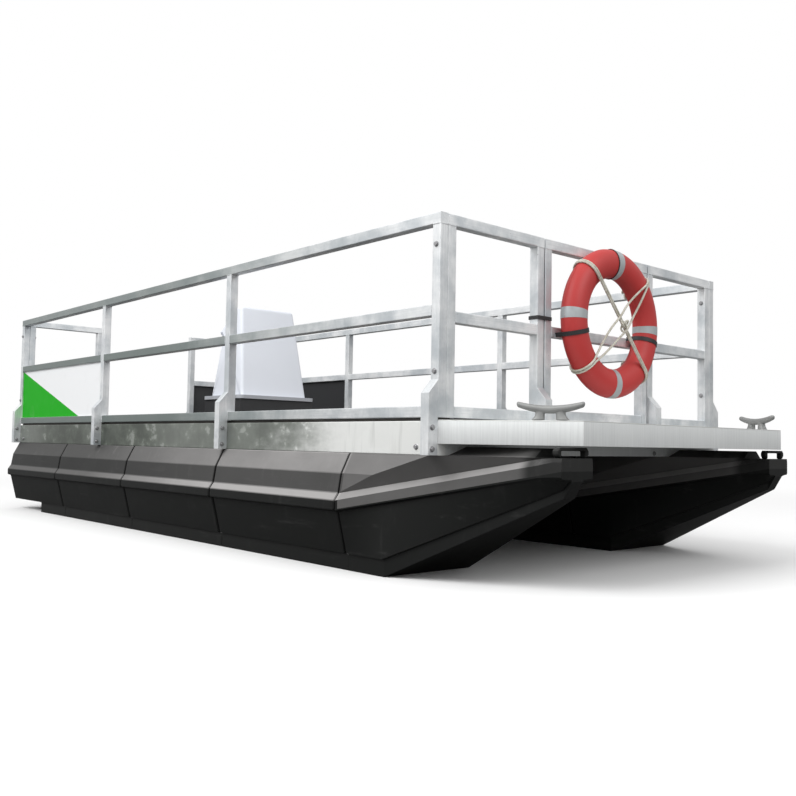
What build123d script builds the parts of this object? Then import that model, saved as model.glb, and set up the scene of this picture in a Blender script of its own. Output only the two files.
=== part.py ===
from build123d import *
import os
from math import cos, radians, sin

os.makedirs("parts", exist_ok=True)

# A railed work barge on two moulded floats. Sizes are in millimetres.
# X points forward, Y to port and Z up from the flat keel faces that it stands on.

# Railing
tube = 50.0  # side of the square tube
tube_corner = 4.0
rail_width = 2320.0  # over the two side railings
rail_height = 900.0  # deck to the top of the rail
side_mid_height = 470.0  # deck to the centre of a side railing's middle rail
end_mid_height = 445.0
front_bay = 1745.0  # from one post's front face to the next
middle_bay = 1755.0
rear_bay = 1690.0
port_post_lead = 81.0  # how far the port side's second post stands ahead of the starboard one
opening_width = 900.0  # between the inner stiles, at the bow and at the stern
infill_thickness = 10.0
infill_inset = 12.0  # rail face to board face

# Bracket feet that bolt the railing to the beams
foot_reach = 55.0
foot_shoulder = 105.0  # deck to the low edge of the sloped top
foot_top = 165.0  # deck to the high edge of the sloped top

# Deck frame
beam_height = 150.0
beam_width = 50.0
deck_thickness = 15.0
deck_margin = 25.0  # how far the deck edge stands in from the beam face
deck_sheet_gap = 4.0
deck_sheet_count = 4
cross_members = 5  # between the front and the rear cross beam

# Bow platform
platform_length = 550.0
platform_front_half = 867.0
fascia_height = 100.0
fascia_width = 40.0
tread_thickness = 4.0
bearer_height = 60.0
bearer_spacing = 450.0
bearer_count = 3

# Floats
float_offset = 880.0  # barge centreline to float centreline
float_height = 561.0
straight_modules = 3  # of one length, between the bow and the stern module
stern_length = 1090.0
stern_inset = 29.0  # rear railing face forward to the end of the float
stern_keel = 518.0  # length of keel on the stern module
module_gap = 12.0
module_edge = 6.0  # chamfer round the ends of a module
top_half = 280.0
shoulder_half = 330.0
shoulder_z = 464.0
waist_half = 346.0
waist_z = 370.0
ledge_half = 370.0
ledge_top_z = 336.0
ledge_low_z = 289.0
lip_share = 0.068  # part of the ledge's half-width that stands out from the hull
lip_drop = 8.0
chine_half = 295.0
chine_z = 81.0
keel_half = 280.0

# Bow modules, from the front railing face
bow_seam = 596.0  # back to the seam
bow_knuckle = 340.0  # back to where the keel turns up
bow_flare = 50.0  # back to where the top narrows
bow_ledge_end = 420.0  # forward to the end of the ledge
bow_stem = 490.0  # forward to the foot of the stem
bow_reach = 530.0  # forward to the tip
flare_slope = 0.39  # how fast the top narrows
strip_end_half = 98.0  # the ledge's sloped strip at its end
strip_end_z = 557.0
ledge_end_half = 120.0
ledge_end_z = 530.0
ledge_end_low_z = 479.0
tip_half = 108.0
tip_taper = 4.0
tip_edge = 16.0
tip_low_z = 484.0
stem_half = 38.0
stem_z = 396.0
stem_chine_half = 46.0
stem_chine_z = 432.0
stem_top_z = 466.0
spine_start = 4.0  # spine under the platform, forward of the front railing face
spine_end = 385.0
spine_height = 39.0
spine_half = 245.0
spine_top_half = 105.0
spine_taper = 0.42  # share of its width that is left at its end
sink = 8.0  # how deep one form is let into the next

# Mooring loop moulded on each bow tip
loop_setback = 34.0  # bow tip back to the middle of the loop
loop_span = 156.0  # clear width
loop_leg = 26.0
loop_clear = 30.0  # clear height
loop_bar = 14.0
loop_depth = 30.0
loop_corner = 14.0

# Gate in the bow railing
gate_gap = 8.0
gate_lift = 8.0  # gate's underside above the deck
hinge_low = 160.0  # deck to the underside of each hinge
hinge_high = 640.0
hinge_height = 90.0
hinge_radius = 9.0
hinge_standoff = 1.0  # knuckle to stile face
hinge_bore = 4.5
pin_clearance = 0.05
pin_head_radius = 7.0
pin_head = 3.0
end_knuckle = 24.0
knuckle_gap = 0.5
leaf_thickness = 4.0
leaf_width = 32.0
leaf_gap = 1.5  # leaf edge to knuckle
tie_height = 505.0  # deck to the centre of the rubber tie
tie_width = 18.0
tie_thickness = 3.0
tie_standoff = 5.0  # tongue to the gate stile's front

# Lifebuoy lashed to the gate
ring_radius = 385.0
ring_radial = 150.0
ring_thickness = 120.0
ring_height = 519.0  # deck to its centre
ring_offset = 18.0  # its centre to port of the centreline
ring_seat = 0.3
rope_radius = 5.0
rope_bow = 8.0  # spread of the doubled run at its middle, in rope radii
strap_angle = 103.0  # clock angle of each lashing strap
strap_width = 22.0
strap_thickness = 3.0
strap_clearance = 1.0

# Helm console
console_setback = 2997.0  # front railing face back to the console's front edge
console_half_low = 300.0
console_half_high = 245.0
console_depth = 462.0
console_height = 692.0
console_rake = 128.0  # how far the front face leans back
console_top = 75.0  # depth of the flat top
dash_drop = 188.0  # top down to the dash's lip
dash_lip = 439.0  # console front back to the dash's lip
knee_drop = 216.0
knee_back = 372.0
console_corner = 30.0
console_shoulder = 60.0  # radius of the top corners
plinth_height = 200.0
plinth_margin = 30.0
flange_thickness = 27.0
flange_margin = 44.0

# Mooring cleats
cleat_setback = 149.0  # platform front back to the cleat's centre
cleat_inset = 51.0  # platform's slanted edge in to the cleat
cleat_half = 143.0
cleat_height = 73.0
cleat_dip = 18.0  # how far the middle lies below the horns
cleat_horn = 14.0  # height of a horn's end
cleat_throat = 38.0  # platform to the underside of the bar
cleat_thickness = 30.0
cleat_leg_gap = 20.0  # half the slot between the legs
cleat_leg = 26.0
cleat_foot = 18.0  # how far a leg's foot flares
cleat_round = 6.0

# Places worked out from the sizes
rail_length = front_bay + middle_bay + rear_bay + tube
overall_length = platform_length + rail_length + foot_reach
module_length = (rail_length - bow_seam - stern_length - stern_inset) / straight_modules
x_front = overall_length / 2 - platform_length
x_rear = x_front - rail_length
x_front_rail = x_front - tube / 2
x_rear_rail = x_rear + tube / 2
x_second = x_front_rail - front_bay
x_third = x_second - middle_bay
x_posts = {
    "starboard": [x_front_rail, x_second, x_third, x_rear_rail],
    "port": [x_front_rail, x_second + port_post_lead, x_third, x_rear_rail],
}
y_outer = rail_width / 2
y_rail = y_outer - tube / 2
y_corner_stile = y_rail - tube
y_inner_stile = (opening_width + tube) / 2
z_beam = float_height
z_beam_top = z_beam + beam_height
z_deck = z_beam_top + deck_thickness
z_top = z_deck + rail_height
z_top_rail = z_top - tube / 2
z_side_mid = z_deck + side_mid_height
z_end_mid = z_deck + end_mid_height
z_base_rail = z_deck + tube / 2
z_tread = z_beam_top + tread_thickness
post_height = rail_height - tube
sides = (("starboard", -1), ("port", 1))
bays = {  # start and length of each bay between two posts
    name: [(aft + tube / 2, fore - aft - tube) for fore, aft in zip(xs, xs[1:])]
    for name, xs in x_posts.items()
}


def save(builder, name):
    """Label a finished piece and write it under its own name."""
    builder.part.label = name
    export_step(builder.part, f"parts/{name}.step")


def station(x, y=0.0):
    """Upright plane across the barge at x, with local axes along Y and Z."""
    return Plane((x, y, 0), x_dir=(0, 1, 0), z_dir=(1, 0, 0))


def both_hands(half):
    """Close a half outline, given from its top to its bottom, into a whole one."""
    return half + [(-y, z) for y, z in reversed(half)]


# Floats: the straight modules
hull_half = [
    (top_half, float_height),
    (shoulder_half, shoulder_z),
    (waist_half, waist_z),
    (ledge_half, ledge_top_z),
    (ledge_half, ledge_low_z),
    (ledge_half * (1 - lip_share), ledge_low_z - lip_drop),
    (chine_half, chine_z),
]
keel_outline = both_hands([(keel_half, chine_z), (keel_half, 0)])
x_bow_seam = x_front - bow_seam
x_stern_seam = x_bow_seam - straight_modules * module_length
modules = [("stern", x_stern_seam - stern_length, stern_length, stern_keel)]  # name, after end, length, keel
for row, module_name in enumerate(("fore", "middle", "aft"), start=1):
    modules.append((module_name, x_bow_seam - row * module_length, module_length, module_length))
for module_name, x_aft, length, keel_length in modules:
    for side_name, side in sides:
        with BuildPart() as module:
            with BuildSketch(station(x_aft, side * float_offset)):
                Polygon(*both_hands(hull_half), align=None)
            extrude(amount=length - module_gap)
            chamfer(module.edges().group_by(Axis.X)[0], module_edge)
            chamfer(module.edges().group_by(Axis.X)[-1], module_edge)
            with BuildSketch(station(x_aft + length - keel_length, side * float_offset)):
                Polygon(*keel_outline, align=None)
            extrude(amount=keel_length)
        save(module, f"float_{module_name}_{side_name}")

# Floats: the bow modules
x_knuckle = x_front - bow_knuckle
x_ledge_end = x_front + bow_ledge_end
x_stem = x_front + bow_stem
x_tip = x_front + bow_reach


def ledge_line(x, at_seam, at_end):
    """A line of the ledge at x: straight from the seam to the end of the ledge."""
    return at_seam + (at_end - at_seam) * (x - x_bow_seam) / (x_ledge_end - x_bow_seam)


def keel_line(x, level, at_stem):
    """A line of the keel at x: level to the knuckle, then straight to the stem."""
    return level + (at_stem - level) * max(0.0, x - x_knuckle) / (x_stem - x_knuckle)


def strip_top(x):
    """Half-width and height of the upper edge of the ledge's sloped strip."""
    return ledge_line(x, waist_half, strip_end_half), ledge_line(x, waist_z, strip_end_z)


def flare_half(x):
    """Half-width of the flared wall at the height of the top."""
    return top_half - flare_slope * (x - x_front + bow_flare)


def hull_at(x):
    """Half outline of the bow below the ledge's strip, where the ledge sweeps up and in."""
    ledge = ledge_line(x, ledge_half, ledge_end_half)
    ledge_low = ledge_line(x, ledge_low_z, ledge_end_low_z)
    keel_top = keel_line(x, chine_z, stem_chine_z)
    return [
        strip_top(x),
        (ledge, ledge_line(x, ledge_top_z, ledge_end_z)),
        (ledge, ledge_low),
        (ledge * (1 - lip_share), ledge_low - lip_drop),
        (keel_line(x, chine_half, stem_chine_half), keel_top),
        (keel_line(x, keel_half, stem_half), keel_top),
        (keel_line(x, keel_half, stem_half), keel_line(x, 0, stem_z)),
    ]


def tip_at(half, chine, keel):
    """Half outline of the blunt tip, with the heights of its chine and keel."""
    return [
        (half - tip_taper, float_height),
        (half, float_height - tip_edge),
        (half, tip_low_z),
        (half * (1 - lip_share), tip_low_z - lip_drop),
        (stem_chine_half, chine),
        (stem_half, chine),
        (stem_half, keel),
    ]


hump_half = [
    (top_half, float_height),
    (shoulder_half, shoulder_z),
    (waist_half, waist_z),
    (waist_half, waist_z - sink),
]
bow_outlines = [(x, hull_at(x)) for x in (x_bow_seam, x_knuckle, x_ledge_end)]
bow_outlines.append((x_stem, tip_at(tip_half, stem_chine_z, stem_z)))
bow_outlines.append((x_tip, tip_at(tip_half - tip_taper, stem_top_z + lip_drop, stem_top_z)))
z_spine = float_height + spine_height
spine_rows = [(x_front + spine_start, 1.0), (x_front + spine_end, spine_taper)]  # x, share of the width
for side_name, side in sides:
    with BuildPart() as bow:
        with BuildSketch(station(x_bow_seam, side * float_offset)):
            Polygon(*both_hands(hump_half), align=None)
        extrude(amount=x_ledge_end - x_bow_seam)
        for x in (x_bow_seam, x_ledge_end):
            foot_half, foot_z = strip_top(x)
            flare = [(flare_half(x), float_height), (foot_half - sink, foot_z - sink)]
            with BuildSketch(station(x, side * float_offset)):
                Polygon(*both_hands(flare), align=None)
        loft(ruled=True, mode=Mode.INTERSECT)
        for x, half in bow_outlines:
            with BuildSketch(station(x, side * float_offset)):
                Polygon(*both_hands(half), align=None)
        loft(ruled=True)
        for x, share in spine_rows:
            spine = [(share * spine_top_half, z_spine), (share * spine_half, float_height - sink)]
            with BuildSketch(station(x, side * float_offset)):
                Polygon(*both_hands(spine), align=None)
        loft(ruled=True)
    save(bow, f"float_bow_{side_name}")

# Deck frame
beam_y = y_outer - beam_width / 2
for side_name, side in sides:
    with BuildPart() as side_beam:
        with BuildSketch(Plane.YZ.offset(x_rear)):
            with Locations((side * beam_y, z_beam + beam_height / 2)):
                RectangleRounded(beam_width, beam_height, tube_corner)
        extrude(amount=rail_length)
    save(side_beam, f"side_beam_{side_name}")

cross_run = 2 * (y_outer - beam_width)
cross_pitch = (x_front_rail - x_rear_rail) / (cross_members + 1)
cross_rows = [  # node, x of each member
    ("front_cross_beam", [x_front_rail]),
    ("rear_cross_beam", [x_rear_rail]),
    ("cross_members", [x_rear_rail + cross_pitch * (i + 1) for i in range(cross_members)]),
]
for node, xs in cross_rows:
    with BuildPart() as cross_beam:
        with BuildSketch(Plane.XZ.offset(-cross_run / 2)):
            with Locations(*[(x, z_beam + beam_height / 2) for x in xs]):
                RectangleRounded(beam_width, beam_height, tube_corner)
        extrude(amount=cross_run)
    save(cross_beam, node)

deck_length = rail_length - 2 * deck_margin
deck_pitch = (deck_length + deck_sheet_gap) / deck_sheet_count
with BuildPart() as deck:
    with BuildSketch(Plane.XY.offset(z_beam_top)):
        with Locations(((x_front + x_rear) / 2, 0)):
            with GridLocations(deck_pitch, 0, deck_sheet_count, 1):
                Rectangle(deck_pitch - deck_sheet_gap, rail_width - 2 * deck_margin)
    extrude(amount=deck_thickness)
save(deck, "deck_sheets")

# Bow platform
x_platform = x_front + platform_length
platform_slope = (y_outer - platform_front_half) / platform_length


def platform_y(x):
    """Half-width of the platform at x, along its slanted edge."""
    return y_outer - platform_slope * (x - x_front)


with BuildPart() as platform_tread:
    with BuildSketch(Plane.XY.offset(z_beam_top)):
        Polygon(
            (x_front, y_outer),
            (x_front, -y_outer),
            (x_platform, -platform_front_half),
            (x_platform, platform_front_half),
            align=None,
        )
    extrude(amount=tread_thickness)
save(platform_tread, "platform_tread")

with BuildPart() as front_fascia:
    with BuildSketch(Plane.XZ.offset(-platform_front_half)):
        with Locations((x_platform - fascia_width / 2, z_beam_top - fascia_height / 2)):
            Rectangle(fascia_width, fascia_height)
    extrude(amount=2 * platform_front_half)
save(front_fascia, "platform_front_fascia")

x_side_fascia = x_platform - fascia_width
with BuildPart() as side_fascias:
    with BuildSketch(Plane.XY.offset(z_beam_top - fascia_height)):
        Polygon(
            (x_front, y_outer),
            (x_side_fascia, platform_y(x_side_fascia)),
            (x_side_fascia, platform_y(x_side_fascia) - fascia_width),
            (x_front, y_outer - fascia_width),
            align=None,
        )
    extrude(amount=fascia_height)
    mirror(about=Plane.XZ)
save(side_fascias, "platform_side_fascias")

with BuildPart() as bearers:
    with BuildSketch(Plane.YZ.offset(x_front)):
        with Locations((0, z_beam_top - bearer_height / 2)):
            with GridLocations(bearer_spacing, 0, bearer_count, 1):
                Rectangle(fascia_width, bearer_height)
    extrude(amount=x_side_fascia - x_front)
save(bearers, "platform_bearers")

# Mooring loops on the bow tips
x_loop = x_tip - loop_setback
loop_half = loop_span / 2 + loop_leg
loop_rise = loop_clear + loop_bar
with BuildPart() as bow_loops:
    with BuildSketch(station(x_loop - loop_depth / 2, float_offset)) as loop_outline:
        with Locations((0, float_height + loop_rise / 2)):
            Rectangle(2 * loop_half, loop_rise)
        chamfer(loop_outline.vertices().group_by(Axis.Z)[-1], loop_corner)
        with Locations((0, float_height + loop_clear / 2)):
            Rectangle(loop_span, loop_clear, mode=Mode.SUBTRACT)
    extrude(amount=loop_depth)
    mirror(about=Plane.XZ)
save(bow_loops, "bow_loops")

# Side railings
with BuildPart() as side_top_rails:
    with BuildSketch(Plane.YZ.offset(x_rear)):
        with Locations((-y_rail, z_top_rail), (y_rail, z_top_rail)):
            RectangleRounded(tube, tube, tube_corner)
    extrude(amount=rail_length)
save(side_top_rails, "side_top_rails")

for node, z_rail in (("side_mid_rails", z_side_mid), ("side_base_rails", z_base_rail)):
    with BuildPart() as side_rails:
        for side_name, side in sides:
            for bay_start, bay_length in bays[side_name]:
                with BuildSketch(Plane.YZ.offset(bay_start)):
                    with Locations((side * y_rail, z_rail)):
                        RectangleRounded(tube, tube, tube_corner)
                extrude(amount=bay_length)
    save(side_rails, node)

with BuildPart() as side_posts:
    with BuildSketch(Plane.XY.offset(z_deck)):
        with Locations(*[(x, side * y_rail) for name, side in sides for x in x_posts[name]]):
            RectangleRounded(tube, tube, tube_corner)
    extrude(amount=post_height)
save(side_posts, "side_posts")

with BuildPart() as side_feet:
    for side_name, side in sides:
        for x in x_posts[side_name]:
            with BuildSketch(Plane.YZ.offset(x - tube / 2)):
                Polygon(
                    (side * y_outer, z_beam),
                    (side * (y_outer + foot_reach), z_beam),
                    (side * (y_outer + foot_reach), z_deck + foot_shoulder),
                    (side * y_outer, z_deck + foot_top),
                    align=None,
                )
            extrude(amount=tube)
save(side_feet, "side_feet")

# End railings
with BuildPart() as end_stiles:
    with BuildSketch(Plane.XY.offset(z_deck)):
        stile_ys = [side * y for y in (y_corner_stile, y_inner_stile) for _, side in sides]
        with Locations(*[(x, y) for x in (x_front_rail, x_rear_rail) for y in stile_ys]):
            RectangleRounded(tube, tube, tube_corner)
    extrude(amount=post_height)
save(end_stiles, "end_stiles")

y_inner = opening_width / 2
end_rail_rows = [  # inner end, outer end, height
    (y_inner, y_outer - tube, z_top_rail),
    (y_inner + tube, y_outer - 2 * tube, z_end_mid),
    (y_inner + tube, y_outer - 2 * tube, z_base_rail),
]
with BuildPart() as end_rails:
    for y_start, y_end, z_rail in end_rail_rows:
        with BuildSketch(Plane.XZ.offset(y_start)):
            with Locations((x_front_rail, z_rail), (x_rear_rail, z_rail)):
                RectangleRounded(tube, tube, tube_corner)
        extrude(amount=y_end - y_start)
    mirror(about=Plane.XZ)
save(end_rails, "end_rails")

end_foot_rows = [  # railing face, direction out of it, underside
    (x_front, 1, z_tread),
    (x_rear, -1, z_beam),
]
with BuildPart() as end_feet:
    for x_face, out, z_low in end_foot_rows:
        with BuildSketch(Plane.XZ.offset(y_inner)):
            Polygon(
                (x_face, z_low),
                (x_face + out * foot_reach, z_low),
                (x_face + out * foot_reach, z_deck + foot_shoulder),
                (x_face, z_deck + foot_top),
                align=None,
            )
        extrude(amount=tube)
    mirror(about=Plane.XZ)
save(end_feet, "end_feet")

# Boards that close the railing round the stern
rear_bay_start, rear_bay_length = bays["starboard"][-1]
board_height = side_mid_height - 1.5 * tube
for side_name, side in sides:
    with BuildPart() as side_board:
        with BuildSketch(Plane.YZ.offset(rear_bay_start)):
            y_board = side * (y_outer - infill_inset - infill_thickness / 2)
            with Locations((y_board, z_deck + tube + board_height / 2)):
                Rectangle(infill_thickness, board_height)
        extrude(amount=rear_bay_length)
    save(side_board, f"infill_{side_name}")

end_board_height = end_mid_height - 1.5 * tube
with BuildPart() as rear_boards:
    with BuildSketch(Plane.XZ.offset(y_inner + tube)):
        with Locations((x_rear + infill_inset + infill_thickness / 2, z_deck + tube + end_board_height / 2)):
            Rectangle(infill_thickness, end_board_height)
    extrude(amount=y_outer - 2 * tube - (y_inner + tube))
    mirror(about=Plane.XZ)
save(rear_boards, "infill_rear")

# Gate
gate_half = y_inner - gate_gap
z_gate = z_deck + gate_lift
with BuildPart() as gate_stiles:
    with BuildSketch(Plane.XY.offset(z_gate)):
        with Locations(*[(x_front_rail, side * (gate_half - tube / 2)) for _, side in sides]):
            RectangleRounded(tube, tube, tube_corner)
    extrude(amount=z_top - tube - z_gate)
save(gate_stiles, "gate_stiles")

gate_rail_rows = [  # half length, height
    (gate_half, z_top_rail),
    (gate_half - tube, z_end_mid),
    (gate_half - tube, z_gate + tube / 2),
]
with BuildPart() as gate_rails:
    for half_run, z_rail in gate_rail_rows:
        with BuildSketch(Plane.XZ.offset(-half_run)):
            with Locations((x_front_rail, z_rail)):
                RectangleRounded(tube, tube, tube_corner)
        extrude(amount=2 * half_run)
save(gate_rails, "gate_rails")

# Gate hinges, on the inner face of the port stiles
x_stile_back = x_front - tube
x_hinge = x_stile_back - hinge_standoff - hinge_radius
y_hinge = y_inner - gate_gap / 2
x_leaf = x_stile_back - leaf_thickness / 2
leaf_offset = hinge_radius + leaf_gap
hinge_zs = (z_deck + hinge_low, z_deck + hinge_high)
middle_knuckle = hinge_height - 2 * end_knuckle - 2 * knuckle_gap
hinge_rows = [  # node, side of the axis, knuckles as (start above the hinge's underside, length)
    ("hinges_fixed", 1, [(0, end_knuckle), (hinge_height - end_knuckle, end_knuckle)]),
    ("hinges_gate", -1, [(end_knuckle + knuckle_gap, middle_knuckle)]),
]
for node, hand, knuckles in hinge_rows:
    with BuildPart() as hinge_halves:
        for z_hinge in hinge_zs:
            with BuildSketch(Plane.XY.offset(z_hinge)):
                with Locations((x_leaf, y_hinge + hand * (leaf_offset + leaf_width / 2))):
                    Rectangle(leaf_thickness, leaf_width)
            extrude(amount=hinge_height)
            for start, length in knuckles:
                with BuildSketch(Plane.XY.offset(z_hinge + start)):
                    with Locations((x_hinge, y_hinge)):
                        Circle(hinge_radius)
                    with Locations((x_leaf, y_hinge + hand * leaf_offset / 2)):
                        Rectangle(leaf_thickness, leaf_offset)
                    with Locations((x_hinge, y_hinge)):
                        Circle(hinge_bore, mode=Mode.SUBTRACT)
                extrude(amount=length)
    save(hinge_halves, node)

with BuildPart() as hinge_pins:
    for z_hinge in hinge_zs:
        with BuildSketch(Plane.XY.offset(z_hinge)):
            with Locations((x_hinge, y_hinge)):
                Circle(hinge_bore - pin_clearance)
        extrude(amount=hinge_height)
        with BuildSketch(Plane.XY.offset(z_hinge + hinge_height)):
            with Locations((x_hinge, y_hinge)):
                Circle(pin_head_radius)
        extrude(amount=pin_head)
save(hinge_pins, "hinge_pins")

# Rubber tie that keeps the gate shut: a loop round the fixed stile with a tongue over the gate
tongue_depth = tie_standoff + tie_thickness
with BuildPart() as gate_tie:
    with BuildSketch(Plane.XY.offset(z_deck + tie_height - tie_width / 2)):
        with Locations((x_front_rail, -y_inner_stile)):
            Rectangle(tube + 2 * tie_thickness, tube + 2 * tie_thickness)
        with Locations((x_front + tongue_depth / 2, -y_inner_stile)):
            Rectangle(tongue_depth, tube + 2 * tie_thickness)
        with Locations((x_front + tie_standoff + tie_thickness / 2, -y_inner + tube / 2)):
            Rectangle(tie_thickness, tube)
        with Locations((x_front_rail, -y_inner_stile)):
            Rectangle(tube, tube, mode=Mode.SUBTRACT)
    extrude(amount=tie_width)
save(gate_tie, "gate_tie")

# Lifebuoy
ring_mid = ring_radius - ring_radial / 2
x_ring = x_front + ring_thickness / 2 + ring_seat
z_ring = z_deck + ring_height
ring_centre = (x_ring, ring_offset, z_ring)
with BuildPart() as lifebuoy:
    with BuildSketch(Plane(ring_centre, x_dir=(1, 0, 0), z_dir=(0, -1, 0))):
        with Locations((0, ring_mid)):
            Ellipse(ring_thickness / 2, ring_radial / 2)
    revolve(axis=Axis(ring_centre, (1, 0, 0)))
save(lifebuoy, "lifebuoy")

x_rope = x_front + ring_thickness + 2 * ring_seat + rope_radius
rope_lay = 2 * rope_radius + ring_seat  # depth of one layer of rope
rope_rows = [  # layer, clock angle of each end, shift square to the run at the ends and at the middle
    (0, -42.0, 137.0, 0.0, 0.0),
    (1, 45.0, 230.0, rope_lay / 2, rope_bow * rope_radius),
    (1, 45.0, 230.0, -rope_lay / 2, -rope_bow * rope_radius),
]


def clock_point(angle, radius):
    """Y and Z of a point on the ring by its clock angle, seen from ahead."""
    return ring_offset + radius * sin(radians(angle)), z_ring + radius * cos(radians(angle))


with BuildPart() as lifebuoy_rope:
    for layer, from_angle, to_angle, end_shift, mid_shift in rope_rows:
        x_run = x_rope + layer * rope_lay
        start = Vector(x_run, *clock_point(from_angle, ring_mid))
        end = Vector(x_run, *clock_point(to_angle, ring_mid))
        square = (end - start).cross(Vector(1, 0, 0)).normalized()
        middle = (start + end) * 0.5 + square * mid_shift
        with BuildLine() as run:
            Spline(start + square * end_shift, middle, end + square * end_shift)
        with BuildSketch(Plane(run.line @ 0, z_dir=run.line % 0)):
            Circle(rope_radius)
        sweep(path=run.line)
save(lifebuoy_rope, "lifebuoy_rope")

strap_radial = ring_radial / 2 + strap_clearance
strap_depth = ring_thickness / 2 + strap_clearance
strap_leg = x_ring - x_front
with BuildPart() as lifebuoy_straps:
    y_strap, z_strap = clock_point(strap_angle, ring_mid)
    outward = Vector(0, sin(radians(strap_angle)), cos(radians(strap_angle)))
    strap_plane = Plane((x_ring, y_strap, z_strap), x_dir=outward, z_dir=outward.cross(Vector(1, 0, 0)))
    with BuildSketch(strap_plane):
        Ellipse(strap_radial + strap_thickness, strap_depth + strap_thickness)
        with Locations((0, -strap_leg / 2)):
            Rectangle(2 * (strap_radial + strap_thickness), strap_leg)
        with Locations((0, -strap_leg - ring_radial)):
            Rectangle(4 * ring_radial, 2 * ring_radial, mode=Mode.SUBTRACT)
        Ellipse(strap_radial, strap_depth, mode=Mode.SUBTRACT)
        with Locations((0, -strap_leg / 2)):
            Rectangle(2 * strap_radial, strap_leg, mode=Mode.SUBTRACT)
    extrude(amount=strap_width / 2, both=True)
    mirror(about=Plane.XZ.offset(-ring_offset))
save(lifebuoy_straps, "lifebuoy_straps")

# Helm console
x_console = x_front - console_setback
x_console_mid = x_console - console_depth / 2
z_flange = z_deck + plinth_height
z_console = z_flange + flange_thickness
with BuildPart() as plinth:
    with BuildSketch(Plane.XY.offset(z_deck)):
        with Locations((x_console_mid, 0)):
            Rectangle(console_depth + 2 * plinth_margin, 2 * (console_half_low + plinth_margin))
    extrude(amount=plinth_height)
save(plinth, "console_plinth")

with BuildPart() as flange:
    with BuildSketch(Plane.XY.offset(z_flange)):
        with Locations((x_console_mid, 0)):
            RectangleRounded(
                console_depth + 2 * flange_margin, 2 * (console_half_low + flange_margin), flange_margin
            )
    extrude(amount=flange_thickness)
save(flange, "console_flange")

z_console_top = z_console + console_height
with BuildPart() as console:
    with BuildSketch(Plane.XZ.offset(-console_half_low)):
        Polygon(
            (x_console, z_console),
            (x_console - console_rake, z_console_top),
            (x_console - console_rake - console_top, z_console_top),
            (x_console - dash_lip, z_console_top - dash_drop),
            (x_console - knee_back, z_console_top - knee_drop),
            (x_console - console_depth, z_console),
            align=None,
        )
    extrude(amount=2 * console_half_low)
    with BuildSketch(station(x_console - 2 * console_depth)) as console_front:
        Polygon(
            (console_half_low, z_console),
            (console_half_high, z_console_top),
            (-console_half_high, z_console_top),
            (-console_half_low, z_console),
            align=None,
        )
        fillet(console_front.vertices().group_by(Axis.Z)[-1], console_shoulder)
    extrude(amount=3 * console_depth, mode=Mode.INTERSECT)
    front_face = console.faces().sort_by(Axis.X)[-1]
    fillet(front_face.edges().sort_by(Axis.Z)[1:], console_corner)
save(console, "console_body")

# Cleats, set along the platform's slanted edges
x_cleat = x_platform - cleat_setback
y_cleat = platform_y(x_cleat) - cleat_inset
cleat_middle = cleat_height - cleat_dip
leg_out = cleat_leg_gap + cleat_leg
for side_name, side in sides:
    with BuildPart() as cleat:
        edge_line = Vector(1, -side * platform_slope, 0).normalized()
        across = edge_line.cross(Vector(0, 0, 1))
        with BuildSketch(Plane((x_cleat, side * y_cleat, z_tread), x_dir=edge_line, z_dir=across)):
            with BuildLine():
                Line((cleat_half, cleat_height), (cleat_half, cleat_height - cleat_horn))
                TangentArc((leg_out, cleat_throat), (cleat_half, cleat_height - cleat_horn), tangent=(1, 0))
                Polyline((leg_out, cleat_throat), (leg_out + cleat_foot, 0), (cleat_leg_gap, 0))
                Line((cleat_leg_gap, 0), (cleat_leg_gap, cleat_throat - cleat_leg_gap))
                TangentArc((cleat_leg_gap, cleat_throat - cleat_leg_gap), (0, cleat_throat), tangent=(0, 1))
                mirror(about=Plane.YZ)
                ThreePointArc((-cleat_half, cleat_height), (0, cleat_middle), (cleat_half, cleat_height))
            make_face()
        extrude(amount=cleat_thickness / 2, both=True)
        crown = cleat.faces().sort_by(lambda face: face.normal_at().Z)[-1]
        fillet(crown.edges(), cleat_round)
    save(cleat, f"cleat_{side_name}")
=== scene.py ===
import math

import bmesh
import bpy
import numpy as np
from bpy.props import FloatProperty, FloatVectorProperty, PointerProperty
from bpy.types import Operator, Panel, PropertyGroup
from mathutils import Matrix, Vector


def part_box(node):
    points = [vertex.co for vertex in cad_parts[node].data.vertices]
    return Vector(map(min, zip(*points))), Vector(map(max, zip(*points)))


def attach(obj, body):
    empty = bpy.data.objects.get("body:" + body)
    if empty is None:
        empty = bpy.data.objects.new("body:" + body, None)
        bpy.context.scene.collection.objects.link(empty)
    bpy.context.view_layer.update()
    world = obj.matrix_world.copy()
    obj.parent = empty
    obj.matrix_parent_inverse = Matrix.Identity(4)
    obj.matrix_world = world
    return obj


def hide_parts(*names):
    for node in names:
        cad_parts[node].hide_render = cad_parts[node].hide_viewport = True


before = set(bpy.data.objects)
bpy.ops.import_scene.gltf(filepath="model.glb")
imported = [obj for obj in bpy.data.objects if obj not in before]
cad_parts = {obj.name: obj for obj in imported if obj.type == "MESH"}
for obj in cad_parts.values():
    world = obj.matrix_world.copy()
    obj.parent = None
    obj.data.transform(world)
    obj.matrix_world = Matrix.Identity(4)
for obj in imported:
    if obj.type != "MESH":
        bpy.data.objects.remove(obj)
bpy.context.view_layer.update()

bl_info = {
    "name": "Pontoon barge dressing",
    "version": (1, 1, 0),
    "blender": (4, 5, 0),
    "location": "View3D > Sidebar > Barge",
    "description": "Finishes, fastenings, lifebuoy and studio for a railed pontoon barge",
    "category": "Object",
}

PHOTO_SIZE = 796  # pixels each way
SENSOR = 36.0  # millimetres


def span(node):
    """Lowest and highest corner of a CAD node as arrays."""
    low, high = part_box(node)
    return np.array(low), np.array(high)


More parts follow.
